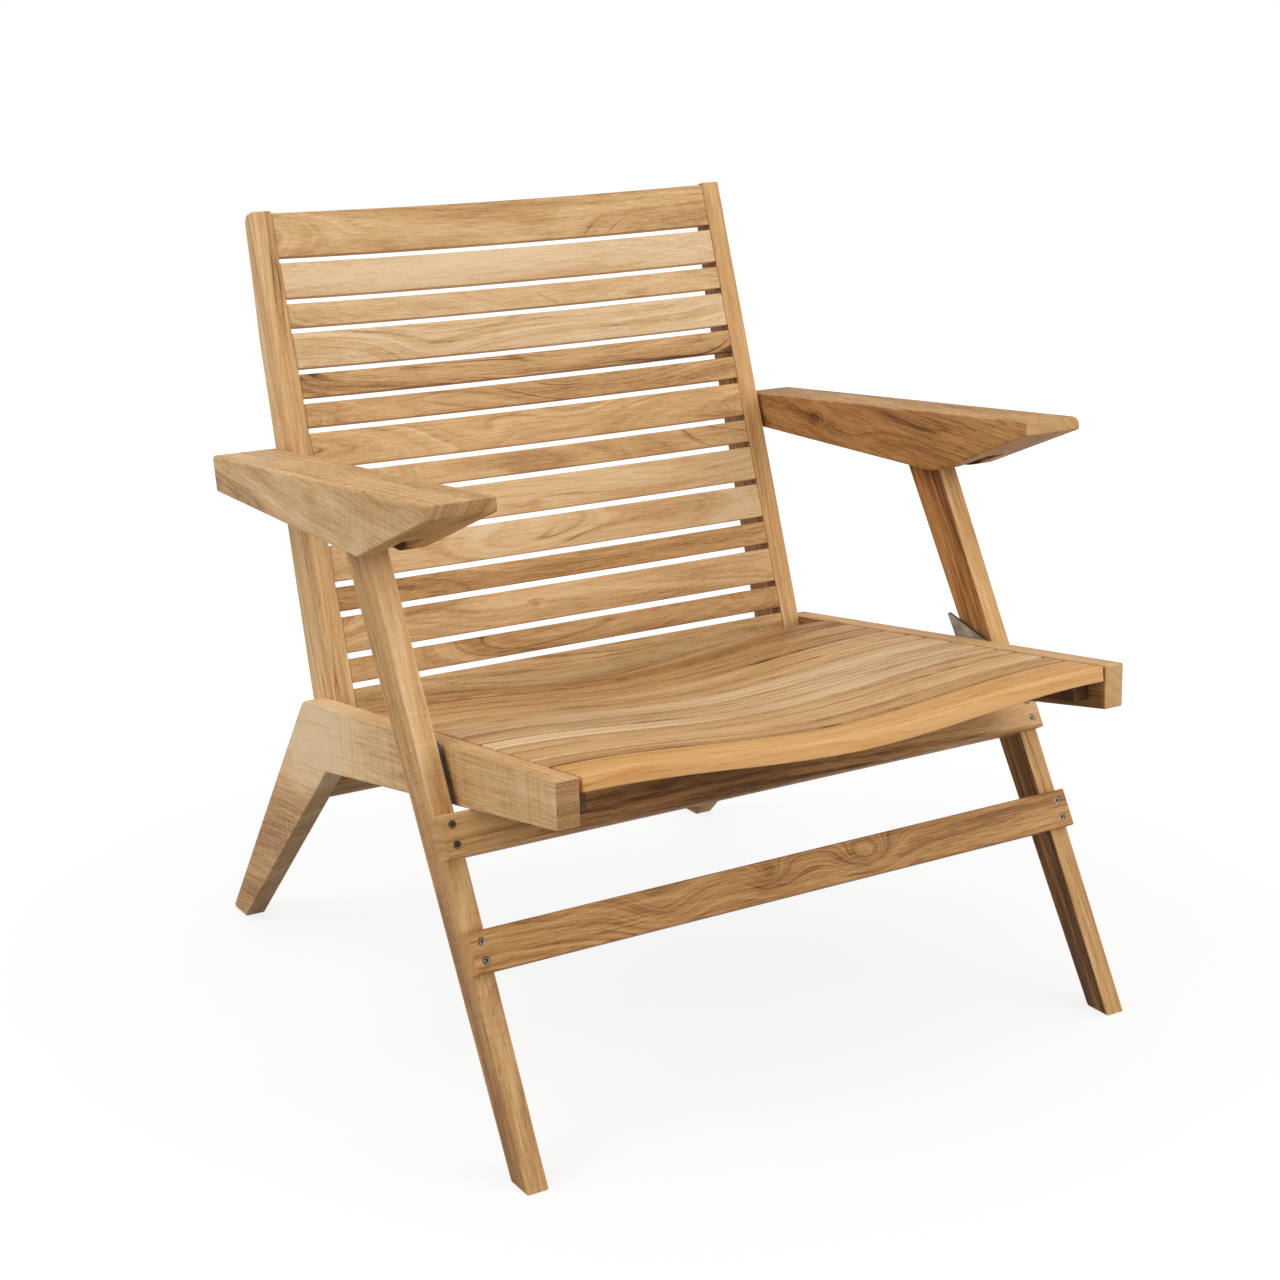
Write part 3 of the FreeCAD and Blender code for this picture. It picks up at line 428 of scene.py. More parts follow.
def make_screw(head, inward, length):
    """One screw: a head with an eased rim and a socket, and its shank."""
    turn = inward.to_track_quat("Z", "X").to_euler()
    screw = start_rod(ROUND_SIDES, SCREW_HEAD_RADIUS, SCREW_HEAD_DEPTH,
                      head + inward * (SCREW_HEAD_DEPTH / 2.0), turn)
    bpy.ops.object.transform_apply(location=True, rotation=True, scale=True)
    bpy.ops.object.mode_set(mode="EDIT")
    pick(screw, "FACE", lambda mesh, face: face.normal.dot(inward) < -SQUARE)
    bpy.ops.mesh.region_to_loop()
    bpy.ops.mesh.bevel(offset=SCREW_RIM_EASE, segments=SCREW_RIM_SEGMENTS)
    pick(screw, "FACE", lambda mesh, face: face.normal.dot(inward) > SQUARE)
    bpy.ops.mesh.inset(thickness=SCREW_HEAD_RADIUS - SCREW_SHANK_RADIUS)
    bpy.ops.mesh.extrude_region_move(
        TRANSFORM_OT_translate={"value": inward * (length - SCREW_HEAD_DEPTH)})
    bpy.ops.object.mode_set(mode="OBJECT")
    socket = start_rod(SCREW_SOCKET_SIDES, SCREW_SOCKET_RADIUS, 2.0 * SCREW_SOCKET_DEPTH,
                       head, turn)
    cut_away(screw, socket, "socket")
    smooth_faces(screw)
    return screw


# Materials

class Finish:
    """The nodes of a material or of the world, added one by one and joined by their sockets."""

    def __init__(self, owner):
        owner.use_nodes = True
        self.owner = owner
        self.tree = owner.node_tree
        self.tree.nodes.clear()

    def add(self, kind, sockets=None, **settings):
        """A new node, its sockets joined to others or set to a value."""
        node = self.tree.nodes.new("ShaderNode" + kind)
        for name, value in settings.items():
            setattr(node, name, value)
        for name, value in (sockets or {}).items():
            if isinstance(value, bpy.types.NodeSocket):
                self.tree.links.new(value, node.inputs[name])
            else:
                node.inputs[name].default_value = value
        return node

    def maths(self, operation, first, second=0.0, third=0.0):
        """A sum done at every place of the surface."""
        node = self.add("Math", {0: first, 1: second, 2: third}, operation=operation)
        return node.outputs[0]

    def plus(self, value, pattern, share):
        """The value with a share of the pattern added to it."""
        return self.maths("MULTIPLY_ADD", pattern, share, value)

    def vector(self, operation, first, second):
        node = self.add("VectorMath", {0: first, 1: second}, operation=operation)
        return node.outputs[0]

    def length(self, vector):
        return self.add("VectorMath", {0: vector}, operation="LENGTH").outputs["Value"]

    def parts(self, vector):
        """The x, y and z of a vector."""
        return self.add("SeparateXYZ", {0: vector}).outputs

    def noise(self, place, scale, detail=2.0, roughness=0.5):
        node = self.add("TexNoise", {"Vector": place, "Scale": scale, "Detail": detail,
                                     "Roughness": roughness})
        return node.outputs["Fac"]

    def drawn_out(self, place, stretch, detail=2.0, roughness=0.5):
        """Noise that is finer one way than another, for all that runs along the grain."""
        return self.noise(self.vector("MULTIPLY", place, stretch), 1.0, detail, roughness)

    def span(self, value, low, high, out_low=0.0, out_high=1.0):
        """The value taken smoothly from one range to another, and held at its ends."""
        node = self.add("MapRange", {0: value, 1: low, 2: high, 3: out_low, 4: out_high},
                        interpolation_type="SMOOTHSTEP")
        return node.outputs[0]

    def blend(self, share, first, second, way="MIX"):
        node = self.add("Mix", {0: share, 6: first, 7: second}, data_type="RGBA",
                        blend_type=way)
        return node.outputs[2]

    def bump(self, height, strength, depth):
        """Fine relief that is felt in the light, not in the shape."""
        node = self.add("Bump", {"Height": height, "Strength": strength, "Distance": depth})
        return node.outputs[0]

    def finish(self, shader):
        """The finished material."""
        self.add("OutputMaterial", {"Surface": shader.outputs[0]})
        return self.owner


def shade(red, green, blue):
    """A colour given as it looks on screen, 0 to 255."""
    channels = []
    for value in (red, green, blue):
        value /= 255.0
        channels.append(value / 12.92 if value <= 0.04045 else ((value + 0.055) / 1.055) ** 2.4)
    return tuple(channels) + (1.0,)


def mixed_shade(first, second, share):
    """A colour between two others, or beyond the second where the share is over 1."""
    return shade(*(a + (b - a) * share for a, b in zip(first, second)))


def turn_matrix(turn):
    """The turn of a Mapping node."""
    x, y, z = (Matrix.Rotation(angle, 3, axis) for angle, axis in zip(turn, "XYZ"))
    return z @ y @ x


# Bare teak from its palest sapwood to its darkest line, cool as weathered and warm as fresh
COOL_TEAK = ((242, 218, 184), (229, 197, 156), (205, 168, 124), (163, 124, 83), (100, 72, 46))
WARM_TEAK = ((242, 205, 152), (228, 181, 120), (202, 151, 91), (158, 108, 59), (95, 62, 31))
# Tint of the painted highlight on faces that look to the front
FRONT_HIGHLIGHT_TINT = (1.0, 0.87, 0.78, 1.0)

# How fine each pattern is along the board, across it and through it
SWAY_STRETCH = (2.4, 9.0, 9.0)
BAND_STRETCH = (1.5, 42.0, 42.0)
CLOUD_STRETCH = (7.0, 20.0, 20.0)
FIBRE_STRETCH = (20.0, 520.0, 520.0)
PORE_STRETCH = (70.0, 1500.0, 1500.0)
LINE_PATCH_STRETCH = (5.0, 30.0, 30.0)
SAW_PATCH_STRETCH = (8.0, 14.0, 14.0)
SPOT_STRETCH = (0.55, 1.0, 1.0)
# The same for dark lines, counted in rings out from the pith
LINE_STRETCH = (0.55, 1.5, 1.0)
# Every board takes its grain from a place of its own, this far from the last one's
SEED_STEP = (1.37, 0.71, 2.13)

# How far each pattern darkens the wood, and how far it raises it
DARKEN = {"rings": 1.15, "bands": 0.65, "clouds": 0.30, "fibres": 0.70, "pores": 0.15, "lines": 0.50}
RAISE = {"rings": -0.3, "fibres": 0.6, "pores": -0.5, "saw": -0.6, "specks": 0.8}
END_DARKEN = {"rings": 0.9, "specks": 1.0}

# How far the rings sway, how fast they change along the board, and how the trunk strays from it
SWAY_WIDTH = 34.0 * MM
RING_CHANGE = 1.6
TRUNK_STRAY = 0.02

# Saw marks: slant to the grain, how fine they are and how far they darken the wood
SAW_MARKS = ((0.06, 420.0, 0.24), (0.75, 300.0, 0.16))

LINE_WIDTH = 0.022
SPECKS = 900.0
FOOT_HEIGHT = 450.0 * MM
FACING_FULL = -0.95
FACING_NONE = -0.6
TEAK_ROUGHNESS = (0.50, 0.68)
TEAK_BUMP = 0.35
TEAK_BUMP_DEPTH = 0.4 * MM
TEAK_GLOSS = 0.3


def facing(wood, normal, axis):
    """1 on the faces that look down this axis, and 0 on the others."""
    return wood.span(wood.parts(normal)[axis], FACING_FULL, FACING_NONE, 1.0, 0.0)


def count_rings(wood, place, seeded, pith, ring, wave):
    """How many rings each place is out from the pith, and how far it is along the board."""
    sway = wood.add("TexNoise", {"Vector": wood.vector("MULTIPLY", seeded, SWAY_STRETCH),
                                 "Scale": 1.0, "Detail": 2.0}).outputs["Color"]
    sway = wood.vector("SUBTRACT", sway, (0.5, 0.5, 0.5))
    sway = wood.vector("MULTIPLY", sway, (0.0, SWAY_WIDTH * wave, SWAY_WIDTH * wave))
    along, side, up = wood.parts(wood.vector("ADD", place, sway))
    side = wood.maths("ADD", wood.plus(side, along, TRUNK_STRAY), pith[0] * MM)
    up = wood.maths("ADD", wood.plus(up, along, TRUNK_STRAY), pith[1] * MM)
    squares = wood.maths("MULTIPLY_ADD", up, up, wood.maths("MULTIPLY", side, side))
    return wood.maths("DIVIDE", wood.maths("SQRT", squares), ring * MM), along


def near_spot(wood, place, knot, size):
    """1 in the middle of a knot or patch, and less the further away."""
    away = wood.vector("MULTIPLY", wood.vector("SUBTRACT", place, knot), SPOT_STRETCH)
    away = wood.maths("POWER", wood.maths("DIVIDE", wood.length(away), size * MM), 2.0)
    return wood.maths("EXPONENT", wood.maths("MULTIPLY", away, -1.0))


def dark_lines(wood, ring_place, seeded):
    """A few rings drawn as thin dark lines, in patches."""
    contour = wood.drawn_out(ring_place, LINE_STRETCH, 1.0)
    line = wood.maths("ABSOLUTE", wood.maths("SUBTRACT", contour, 0.5))
    line = wood.span(line, 0.0, LINE_WIDTH, 1.0, 0.0)
    patch = wood.drawn_out(seeded, LINE_PATCH_STRETCH)
    return wood.maths("MULTIPLY", line, wood.span(patch, 0.38, 0.66))


def saw_marks(wood, seeded, slant, fineness):
    """Marks of the saw at one slant to the grain, in patches."""
    slanted = wood.add("Mapping", {"Vector": seeded, "Rotation": (slant, slant, slant),
                                   "Scale": (fineness, 6.0, 6.0)}).outputs[0]
    mark = wood.span(wood.noise(slanted, 1.0), 0.36, 0.68, -0.5, 0.5)
    place = wood.vector("ADD", wood.vector("MULTIPLY", seeded, SAW_PATCH_STRETCH),
                        (slant * 9.0, 0.0, 0.0))
    return wood.maths("MULTIPLY", mark, wood.span(wood.noise(place, 1.0), 0.40, 0.62))


def teak_shades(wood, dark, warmth):
    """The colour of teak, from its palest at 0 to its darkest at 1."""
    ramp = wood.add("ValToRGB", {0: dark})
    stops = ramp.color_ramp.elements
    for number, (cool, warm) in enumerate(zip(COOL_TEAK, WARM_TEAK)):
        share = number / (len(COOL_TEAK) - 1.0)
        stop = stops[number] if number < 2 else stops.new(share)
        stop.position = share
        stop.color = mixed_shade(cool, warm, warmth)
    return ramp.outputs[0]


def teak(name, centre, seed, tone, warmth, lean=None, pith=(60.0, 12.0), ring=5.0, wave=1.0,
         figure=1.0, streaks=0.5, sawn=0.0, shaded=0.0, front=0.0, foot=0.0, ends=0.4, knots=()):
    """Bare teak. The grain runs across the chair, or up a board that leans to the rear.

    tone is how dark the board is, and warmth how fresh its colour. pith is where the middle of
    the trunk lies beside the board and ring how wide a ring is, both in millimetres, and wave
    is how far the rings sway along the board. figure is how lively the rings are, streaks how
    strong their dark lines and sawn how strong the marks of the saw. shaded is how much painted
    shade, partly darker wood, lies on the face that looks left, front how much painted highlight,
    paler and redder, lies on the face that looks to the front, foot how much painted shade
    deepens towards the floor, and ends is the tone of its end grain. A knot or patch is a place
    and a size in millimetres, the number of rings that bulge there and how much darker it is;
    a patch with no bulge that darkens is painted shade.
    """
    wood = Finish(bpy.data.materials.new(name))
    turn = (0.0, 0.0, 0.0)
    if lean is not None:
        turn = (math.radians(lean - 90.0), 0.0, math.radians(-90.0))
    turned = turn_matrix(turn)
    surface = wood.add("TexCoord").outputs
    place = wood.add("Mapping", {"Vector": surface["Object"], "Rotation": turn,
                                 "Location": -(turned @ centre)}).outputs[0]
    normal = wood.add("Mapping", {"Vector": surface["Normal"], "Rotation": turn}).outputs[0]
    seeded = wood.vector("ADD", place, tuple(seed * step for step in SEED_STEP))

    # Growth rings round the pith, which sway along the board and bend round the knots
    growth, along = count_rings(wood, place, seeded, pith, ring, wave)
    always = DARKEN["bands"] + DARKEN["clouds"] + DARKEN["fibres"]
    dark = tone - 0.5 * (DARKEN["rings"] * figure + always)
    # Knots bend the rings and darken the wood; a patch with no bulge that darkens is painted shade
    for knot, size, bulge, depth in knots:
        near = near_spot(wood, place, tuple(turned @ (Vector(knot) * MM - centre)), size)
        if bulge:
            growth = wood.plus(growth, near, bulge)
        if depth:
            dark = wood.plus(dark, wood.maths("POWER", near, 2.0), depth)
    ring_place = wood.add("CombineXYZ", {0: growth, 1: wood.maths("MULTIPLY", along, RING_CHANGE),
                                         2: seed}).outputs[0]

    # Every ring has its own width and darkness, among bands of the heartwood, fibres and pores
    patterns = {
        "rings": wood.noise(ring_place, 1.0, 4.0, 0.72),
        "bands": wood.drawn_out(seeded, BAND_STRETCH, 3.0, 0.6),
        "clouds": wood.drawn_out(seeded, CLOUD_STRETCH),
        "fibres": wood.drawn_out(seeded, FIBRE_STRETCH, 3.0, 0.7),
        "pores": wood.span(wood.drawn_out(seeded, PORE_STRETCH, 1.0), 0.52, 0.70),
        "lines": dark_lines(wood, ring_place, seeded),
    }
    strength = {"rings": figure, "lines": streaks}
    relief = 0.0
    for pattern, values in patterns.items():
        dark = wood.plus(dark, values, DARKEN[pattern] * strength.get(pattern, 1.0))
        if pattern in RAISE:
            relief = wood.plus(relief, values, RAISE[pattern])

    # Painted shade towards the floor and on the face that looks left, partly darker wood there, and
    # a painted highlight on the face that looks to the front
    if foot:
        height = wood.parts(surface["Object"])[2]
        dark = wood.plus(dark, wood.span(height, 0.0, FOOT_HEIGHT, 1.0, 0.0), foot)
    if shaded:
        dark = wood.plus(dark, facing(wood, surface["Normal"], 0), shaded)
    if front:
        front_highlight = facing(wood, surface["Normal"], 1)
        dark = wood.plus(dark, front_highlight, -front)
    if sawn:
        for slant, fineness, share in SAW_MARKS:
            marks = saw_marks(wood, seeded, slant, fineness)
            dark = wood.plus(dark, marks, share * sawn)
            relief = wood.plus(relief, marks, RAISE["saw"] * sawn)

    # The rings show on the end grain as fine lines, and it is rough and specked
    end = wood.span(wood.maths("ABSOLUTE", wood.parts(normal)[0]), 0.75, 0.92)
    specks = wood.noise(seeded, SPECKS, 3.0, 0.7)
    end_dark = wood.plus(ends - 0.5 * sum(END_DARKEN.values()), patterns["rings"],
                         END_DARKEN["rings"])
    end_dark = wood.plus(end_dark, specks, END_DARKEN["specks"])
    dark = wood.add("Mix", {0: end, 2: dark, 3: end_dark}).outputs[0]
    relief = wood.plus(relief, wood.maths("MULTIPLY", specks, end), RAISE["specks"])

    colour = teak_shades(wood, dark, warmth)
    # The painted highlight on the front face is redder as well
    if front:
        colour = wood.blend(front_highlight, colour, FRONT_HIGHLIGHT_TINT, "MULTIPLY")
    return wood.finish(wood.add("BsdfPrincipled", {
        "Base Color": colour,
        "Roughness": wood.span(patterns["fibres"], 0.3, 0.7, *TEAK_ROUGHNESS),
        "Normal": wood.bump(relief, TEAK_BUMP, TEAK_BUMP_DEPTH),
        "Specular IOR Level": TEAK_GLOSS}))


# Steel and rubber
STEEL_LINES = (900.0, 70.0, 900.0)
STEEL_CLOUDS = 60.0
# Colour of the cut edges: partly darker cut steel, partly painted shade of the gap they stand in
STEEL_EDGE_AND_GAP_SHADE = (44, 42, 40)
STEEL_ROUGHNESS = (0.34, 0.50)
STEEL_BUMP = 0.15
RUBBER_GRAIN = 900.0
RUBBER_DARK = (34, 32, 31)
RUBBER_LIGHT = (48, 45, 43)
RUBBER_ROUGHNESS = (0.62, 0.80)
RUBBER_BUMP = 0.2
FINE_BUMP_DEPTH = 0.1 * MM


def brushed_steel(name, light, dark, edge=0.0, metallic=1.0):
    """Matt steel with fine brushed lines. edge is how dark its cut edges are, partly darker cut
    steel and partly painted shade of the gap they stand in.
    """
    steel = Finish(bpy.data.materials.new(name))
    surface = steel.add("TexCoord").outputs
    lines = steel.drawn_out(surface["Object"], STEEL_LINES, 3.0)
    clouds = steel.noise(surface["Object"], STEEL_CLOUDS, 3.0)
    colour = steel.blend(steel.span(clouds, 0.3, 0.7), light, dark)
    colour = steel.blend(steel.span(lines, 0.4, 0.75, 0.0, 0.5), colour, dark)
    # The cut edges are darkened: partly darker cut steel, partly painted shade
    across = steel.maths("ABSOLUTE", steel.parts(surface["Normal"])[0])
    edge_and_gap_shade = steel.span(across, 0.5, 0.9, edge, 0.0)
    colour = steel.blend(edge_and_gap_shade, colour, shade(*STEEL_EDGE_AND_GAP_SHADE))
    return steel.finish(steel.add("BsdfPrincipled", {
        "Base Color": colour,
        "Metallic": metallic,
        "Roughness": steel.span(lines, 0.3, 0.7, *STEEL_ROUGHNESS),
        "Normal": steel.bump(lines, STEEL_BUMP, FINE_BUMP_DEPTH)}))


def dark_rubber(name):
    """Dark rubber of the pads."""
    rubber = Finish(bpy.data.materials.new(name))
    grain = rubber.noise(rubber.add("TexCoord").outputs["Object"], RUBBER_GRAIN)
    colour = rubber.blend(rubber.span(grain, 0.3, 0.7), shade(*RUBBER_DARK), shade(*RUBBER_LIGHT))
    return rubber.finish(rubber.add("BsdfPrincipled", {
        "Base Color": colour,
        "Roughness": rubber.span(grain, 0.3, 0.7, *RUBBER_ROUGHNESS),
        "Normal": rubber.bump(grain, RUBBER_BUMP, FINE_BUMP_DEPTH)}))


def dress(piece, material):
    """Gives a piece one material all over."""
    piece.data.materials.clear()
    piece.data.materials.append(material)


def middle(node):
    """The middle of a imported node's box."""
    low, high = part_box(node)
    return (low + high) / 2.0


# The boards: their lean to the rear, where the pith lies, how dark and lively each one is, and the
# painted shade and highlights on some of them

RAIL_LEAN = SEAT_SLOPE + 90.0
ARM_LEAN = 90.0 - ARM_SLOPE


def slat_look(pith, tone, warmth, figure, streaks, **more):
    """The look of a slat, whose grain runs across the chair."""
    return dict(pith=pith, tone=tone, warmth=warmth, figure=figure, streaks=streaks, **more)


BOARDS = {
    # The side boards: painted shade towards the floor on the left one, painted shade on the face
    # that looks left on the right one, and a paler patch high on the left rear leg
    "side_board_left": dict(lean=RAIL_LEAN, pith=(20.0, 110.0), ring=4.0, tone=0.31, warmth=0.6,
                            figure=0.5, streaks=0.1, sawn=0.75, foot=0.25, ends=0.64,
                            knots=(((-300.0, 120.0, 270.0), 100.0, 0.0, -0.50),)),
    "side_board_right": dict(lean=RAIL_LEAN, pith=(-90.0, 30.0), tone=0.38, warmth=0.7,
                             figure=0.6, streaks=0.2, sawn=0.45, shaded=0.25, ends=0.38),
    "rear_cross_rail": dict(tone=0.50, warmth=0.7),
    # The cleats are near black: painted shade under the seat
    "seat_cleat_left": dict(lean=RAIL_LEAN, tone=1.0, warmth=0.8, ends=1.1),
    "seat_cleat_right": dict(lean=RAIL_LEAN, tone=1.0, warmth=0.8, ends=1.1),
    "back_stile_left": dict(lean=BACK_LEAN, pith=(70.0, 120.0), ring=6.0, tone=0.27,
                            warmth=0.75, figure=1.3, streaks=1.0),
    # The right stile's face that looks left shows between the back slats and is darkened as painted
    # shade
    "back_stile_right": dict(lean=BACK_LEAN, pith=(-80.0, 90.0), tone=0.27, warmth=0.90,
                             figure=0.7, streaks=0.3, shaded=0.50),
    # The front legs: painted shade towards the floor and on the face that looks left, and a patch of
    # painted shadow of the armrest at the top of each
    "front_leg_left": dict(lean=FRONT_LEG_LEAN, pith=(50.0, 110.0), tone=0.27, warmth=0.8,
                           figure=0.9, streaks=0.4, sawn=0.25, shaded=0.18, foot=0.26,
                           knots=(((-317.0, -62.0, 505.0), 26.0, 0.0, 0.25),)),
    "front_leg_right": dict(lean=FRONT_LEG_LEAN, pith=(-60.0, 70.0), tone=0.25, warmth=0.95,
                            figure=0.9, streaks=0.6, shaded=0.46, foot=0.16,
                            knots=(((317.0, -62.0, 505.0), 26.0, 0.0, 0.25),)),
    # The upper stretcher: a broad patch of painted shadow of the seat along its middle
    "upper_stretcher": dict(pith=(60.0, 120.0), wave=1.5, tone=0.25, warmth=0.85, ends=0.5,
                            knots=(((-20.0, -205.0, 275.0), 200.0, 0.0, 0.56),)),
    "lower_stretcher": dict(pith=(30.0, 14.0), ring=4.0, wave=2.0, tone=0.54, warmth=1.1,
                            figure=1.1, streaks=0.5, ends=0.5,
                            knots=(((-140.0, -266.0, 178.0), 24.0, 6.0, 0.08),
                                   ((-24.0, -263.0, 183.0), 14.0, 5.0, 0.18),
                                   ((84.0, -263.0, 183.0), 17.0, 6.0, 0.10))),
    # The armrests: a patch of painted shade in the slot under each nose, and on the right one
    # painted shade, partly darker wood, on its face that looks left
    "armrest_left": dict(lean=ARM_LEAN, pith=(160.0, 40.0), tone=0.40, warmth=0.55, figure=0.9,
                         streaks=0.2, sawn=0.4, ends=0.58,
                         knots=(((-306.6, -112.0, 502.0), 10.0, 0.0, 1.2),)),
    "armrest_right": dict(lean=ARM_LEAN, pith=(-70.0, 50.0), ring=8.0, tone=0.52, warmth=0.8,
                          figure=0.5, streaks=0.4, shaded=0.12, ends=0.38,
                          knots=(((281.5, 98.0, 523.0), 9.0, 3.0, 0.25),
                                 ((281.5, 45.0, 510.0), 40.0, 2.6, 0.0),
                                 ((328.4, -112.0, 502.0), 10.0, 0.0, 1.2))),
    # The front seat slat: a painted highlight, paler and redder, on its front face
    "seat_slat_01": slat_look((170.0, 30.0), 0.27, 1.45, 1.1, 0.5, front=0.14),
    "seat_slat_02": slat_look((-150.0, 40.0), 0.45, 0.65, 1.4, 0.6),
    "seat_slat_03": slat_look((180.0, -30.0), 0.31, 0.65, 1.2, 0.5),
    "seat_slat_04": slat_look((120.0, 50.0), 0.45, 0.6, 1.4, 0.6),
    "seat_slat_05": slat_look((-160.0, 22.0), 0.22, 0.35, 1.2, 0.5),
    "seat_slat_06": slat_look((160.0, 46.0), 0.37, 0.35, 1.4, 0.7),
    "seat_slat_07": slat_look((-140.0, -50.0), 0.24, 0.35, 1.2, 0.5),
    "seat_slat_08": slat_look((170.0, 18.0), 0.36, 0.6, 1.4, 0.6),
    "seat_slat_09": slat_look((130.0, -40.0), 0.33, 0.7, 1.2, 0.5),
    "seat_slat_10": slat_look((-170.0, 26.0), 0.45, 0.7, 1.3, 0.6),
    "seat_slat_11": slat_look((60.0, 34.0), 0.46, 0.7, 1.2, 0.5),
    "seat_slat_12": slat_look((-40.0, 40.0), 0.54, 0.7, 1.1, 0.5),
    "back_slat_01": slat_look((34.0, 8.0), 0.35, 0.65, 1.1, 0.5, wave=1.6,
                              knots=(((-190.0, 277.0, 712.0), 50.0, 2.5, 0.05),)),
    "back_slat_02": slat_look((60.0, -50.0), 0.12, 0.45, 0.7, 0.1),
    "back_slat_03": slat_look((-36.0, 10.0), 0.26, 0.5, 0.9, 0.6, wave=1.6,
                              knots=(((-86.0, 256.0, 636.0), 36.0, 2.5, 0.0),
                                     ((82.0, 255.0, 680.0), 36.0, 2.5, 0.0))),
    "back_slat_04": slat_look((30.0, 18.0), 0.16, 0.4, 1.0, 0.5, wave=1.6,
                              knots=(((-110.0, 242.0, 596.0), 44.0, 3.5, 0.03),)),
    "back_slat_05": slat_look((-40.0, -14.0), 0.46, 0.65, 1.0, 1.0, wave=2.0),
    "back_slat_06": slat_look((50.0, 6.0), 0.46, 0.7, 0.9, 0.6, wave=1.6,
                              knots=(((42.0, 226.0, 566.0), 26.0, 1.0, 0.12),)),
    "back_slat_07": slat_look((28.0, -6.0), 0.29, 0.75, 1.0, 0.6, wave=1.8,
                              knots=(((-58.0, 214.0, 500.0), 36.0, 2.5, 0.0),
                                     ((58.0, 212.0, 552.0), 30.0, 2.5, 0.05))),
    "back_slat_08": slat_look((-44.0, 20.0), 0.25, 0.7, 0.8, 0.5, wave=1.4),
    "back_slat_09": slat_look((32.0, 12.0), 0.17, 0.65, 1.0, 0.5, wave=1.6),
    "back_slat_10": slat_look((-30.0, 4.0), 0.19, 0.6, 1.0, 0.8, wave=1.8,
                              knots=(((100.0, 175.0, 392.0), 48.0, 3.0, 0.0),
                                     ((-134.0, 175.0, 448.0), 30.0, 2.5, 0.0),
                                     ((240.0, 168.0, 394.0), 36.0, 3.0, 0.0))),
    "back_slat_11": slat_look((46.0, 16.0), 0.46, 0.8, 0.8, 0.5, wave=1.4),
    "back_slat_12": slat_look((27.0, -16.0), 0.37, 0.65, 1.1, 0.4, wave=1.6,
                              knots=(((-34.0, 155.0, 352.0), 5.0, 1.0, 0.30),)),
    "back_slat_13": slat_look((-50.0, 8.0), 0.53, 0.8, 0.9, 0.5),
    "back_slat_14": slat_look((36.0, 20.0), 0.36, 0.75, 1.0, 0.5),
}


def make_boards():
    """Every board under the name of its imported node, the slats and armrests made anew."""
    boards = {node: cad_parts[node] for node in BOARDS}
    seat_slats = [node for node in BOARDS if node.startswith("seat_slat_")]
    back_slats = [node for node in BOARDS if node.startswith("back_slat_")]
    boards.update(make_slats(seat_slats[:-1], SEAT_SLOPE, SEAT_DISH, 0.0, make_seat_slat))
    boards.update(make_slats(seat_slats[-1:], SEAT_SLOPE, SEAT_DISH, 0.0, make_last_seat_slat))
    boards.update(make_slats(back_slats, BACK_LEAN, 0.0, BACK_BOW, make_back_slat))
    for node in seat_slats:
        stand_in(boards[node], node, "seat_frame")
    for node in back_slats:
        stand_in(boards[node], node, "backrest")
    for side in ("left", "right"):
        node = "armrest_" + side
        boards[node] = make_armrest(node)
        stand_in(boards[node], node, "arm_" + side)
    return boards


def dress_boards(boards):
    """Gives every board its own teak."""
    for number, (node, look) in enumerate(BOARDS.items()):
        dress(boards[node], teak("teak_" + node, middle(node), number + 1.0, **look))


def dress_fittings():
    """Steel and rubber for all that isn't wood, with the stretchers' screws made anew."""
    # The plates' cut edges are dark: partly darker cut steel, partly painted shade of the gap
    # between leg and side board
    steel = brushed_steel("brushed_steel", shade(200, 198, 196), shade(150, 147, 144), 0.85, 0.5)
    # The screws' steel is tinted brown, a painted reflection of the teak round them
    dull_steel = brushed_steel("dull_steel", shade(134, 122, 108), shade(92, 80, 68))
    rubber = dark_rubber("dark_pad")
    screws = make_stretcher_screws()
    stand_in(screws, "stretcher_screws", "front_legs")
    dress(screws, dull_steel)
    for node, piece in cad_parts.items():
        if node.startswith("plate_pad"):
            dress(piece, rubber)
        elif "screws" in node:
            dress(piece, dull_steel)
        elif any(word in node for word in ("pin", "washer", "plate")):
            dress(piece, steel)


# Stage, in metres

WHITE = (1.0, 1.0, 1.0, 1.0)
FLOOR_SIZE = 14.0
FLOOR_GREY = (0.22, 0.22, 0.22, 1.0)
FLOOR_GLOW = 0.80
FLOOR_GLOW_RISES = (0.6, 1.6)
WORLD_LEVEL = 0.75
LAMP_AIM = Vector((0.0, 0.0, 0.35))
LAMP_SIZE = 2.2


def make_floor():
    """A pale floor that keeps the chair's shadow and fades to white away from it."""
    bpy.ops.mesh.primitive_plane_add(size=FLOOR_SIZE, location=(0.0, 0.0, 0.0))
    floor = bpy.context.active_object
    floor.name = "floor"
    paint = Finish(bpy.data.materials.new("pale_floor"))
    path = paint.add("LightPath").outputs
    seen = paint.maths("MAXIMUM", path["Is Camera Ray"], path["Is Glossy Ray"])
    seen = paint.maths("MAXIMUM", seen, path["Is Transmission Ray"])
    away = paint.length(paint.add("TexCoord").outputs["Object"])
    level = paint.span(away, *FLOOR_GLOW_RISES, FLOOR_GLOW, 1.0)
    white = paint.add("BsdfDiffuse", {"Color": FLOOR_GREY})
    glow = paint.add("Emission", {"Color": WHITE, "Strength": paint.maths("MULTIPLY", seen, level)})
    both = paint.add("AddShader", {0: white.outputs[0], 1: glow.outputs[0]})
    dress(floor, paint.finish(both))


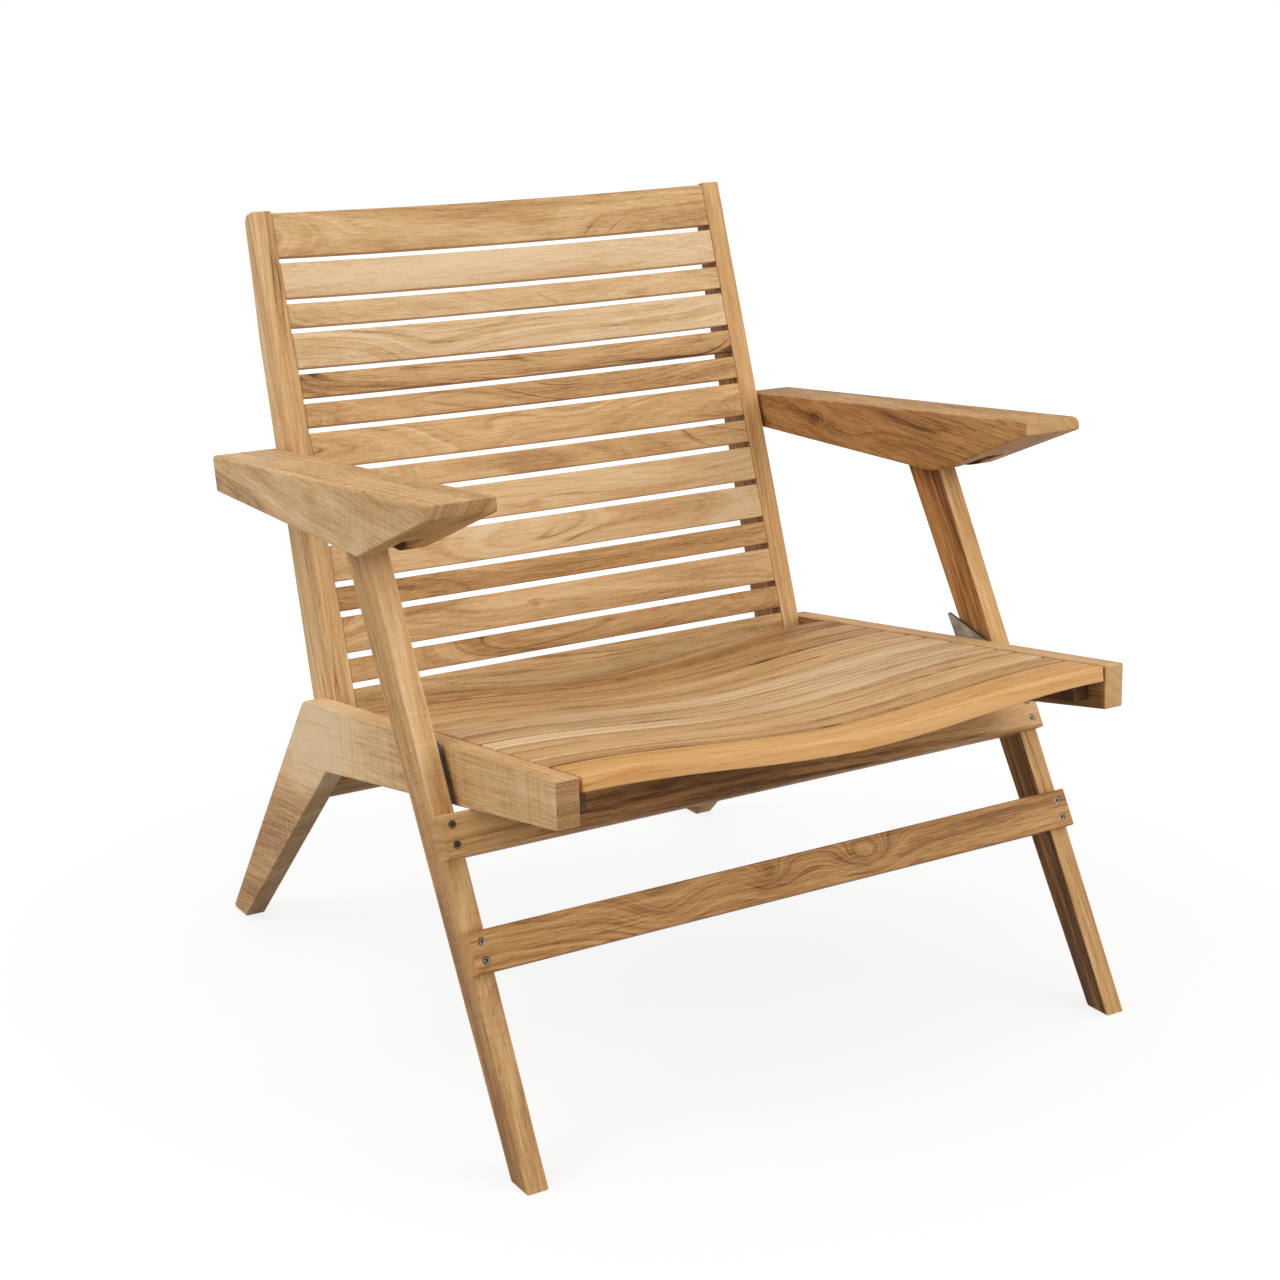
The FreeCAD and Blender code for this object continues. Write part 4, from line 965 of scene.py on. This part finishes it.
def make_world():
    """Plain light from all round, and white where the camera sees it."""
    bpy.context.scene.world = bpy.data.worlds.new("studio")
    air = Finish(bpy.context.scene.world)
    path = air.add("LightPath").outputs
    seen = air.maths("MAXIMUM", path["Is Camera Ray"], path["Is Transmission Ray"])
    level = air.span(seen, 0.0, 1.0, WORLD_LEVEL, 1.0)
    background = air.add("Background", {"Color": WHITE, "Strength": level})
    air.add("OutputWorld", {"Surface": background.outputs[0]})


def make_lamp(name, place, power):
    """A square lamp of soft light that looks at the chair."""
    lamp = bpy.data.lights.new(name, "AREA")
    lamp.shape = "SQUARE"
    lamp.size = LAMP_SIZE
    lamp.energy = power
    holder = bpy.data.objects.new(name, lamp)
    bpy.context.scene.collection.objects.link(holder)
    holder.location = place
    holder.rotation_euler = (LAMP_AIM - Vector(place)).to_track_quat("-Z", "Y").to_euler()


def make_camera():
    """A camera at the place and turn of the one that took the photograph."""
    right = Vector((math.cos(CAMERA_TURN), math.sin(CAMERA_TURN), 0.0))
    back = Vector((math.sin(CAMERA_TURN) * math.cos(CAMERA_RISE),
                   -math.cos(CAMERA_TURN) * math.cos(CAMERA_RISE), math.sin(CAMERA_RISE)))
    up = back.cross(right)
    rolled_right = right * math.cos(CAMERA_ROLL) + up * math.sin(CAMERA_ROLL)
    rolled_up = up * math.cos(CAMERA_ROLL) - right * math.sin(CAMERA_ROLL)
    lens = bpy.data.cameras.new("camera")
    lens.lens = CAMERA_LENS
    lens.sensor_width = CAMERA_SENSOR
    lens.shift_y = CAMERA_SHIFT_Y
    camera = bpy.data.objects.new("camera", lens)
    bpy.context.scene.collection.objects.link(camera)
    axes = Matrix((rolled_right, rolled_up, back)).transposed()
    camera.matrix_world = Matrix.Translation(CAMERA_PLACE) @ axes.to_4x4()
    bpy.context.scene.camera = camera


dress_boards(make_boards())
dress_fittings()
make_floor()
make_world()
make_lamp("front_lamp", (2.1, -2.7, 1.5), 37.0)
make_lamp("side_lamp", (-2.5, 0.2, 2.2), 24.5)
make_camera()
bpy.context.scene.view_settings.view_transform = "Standard"
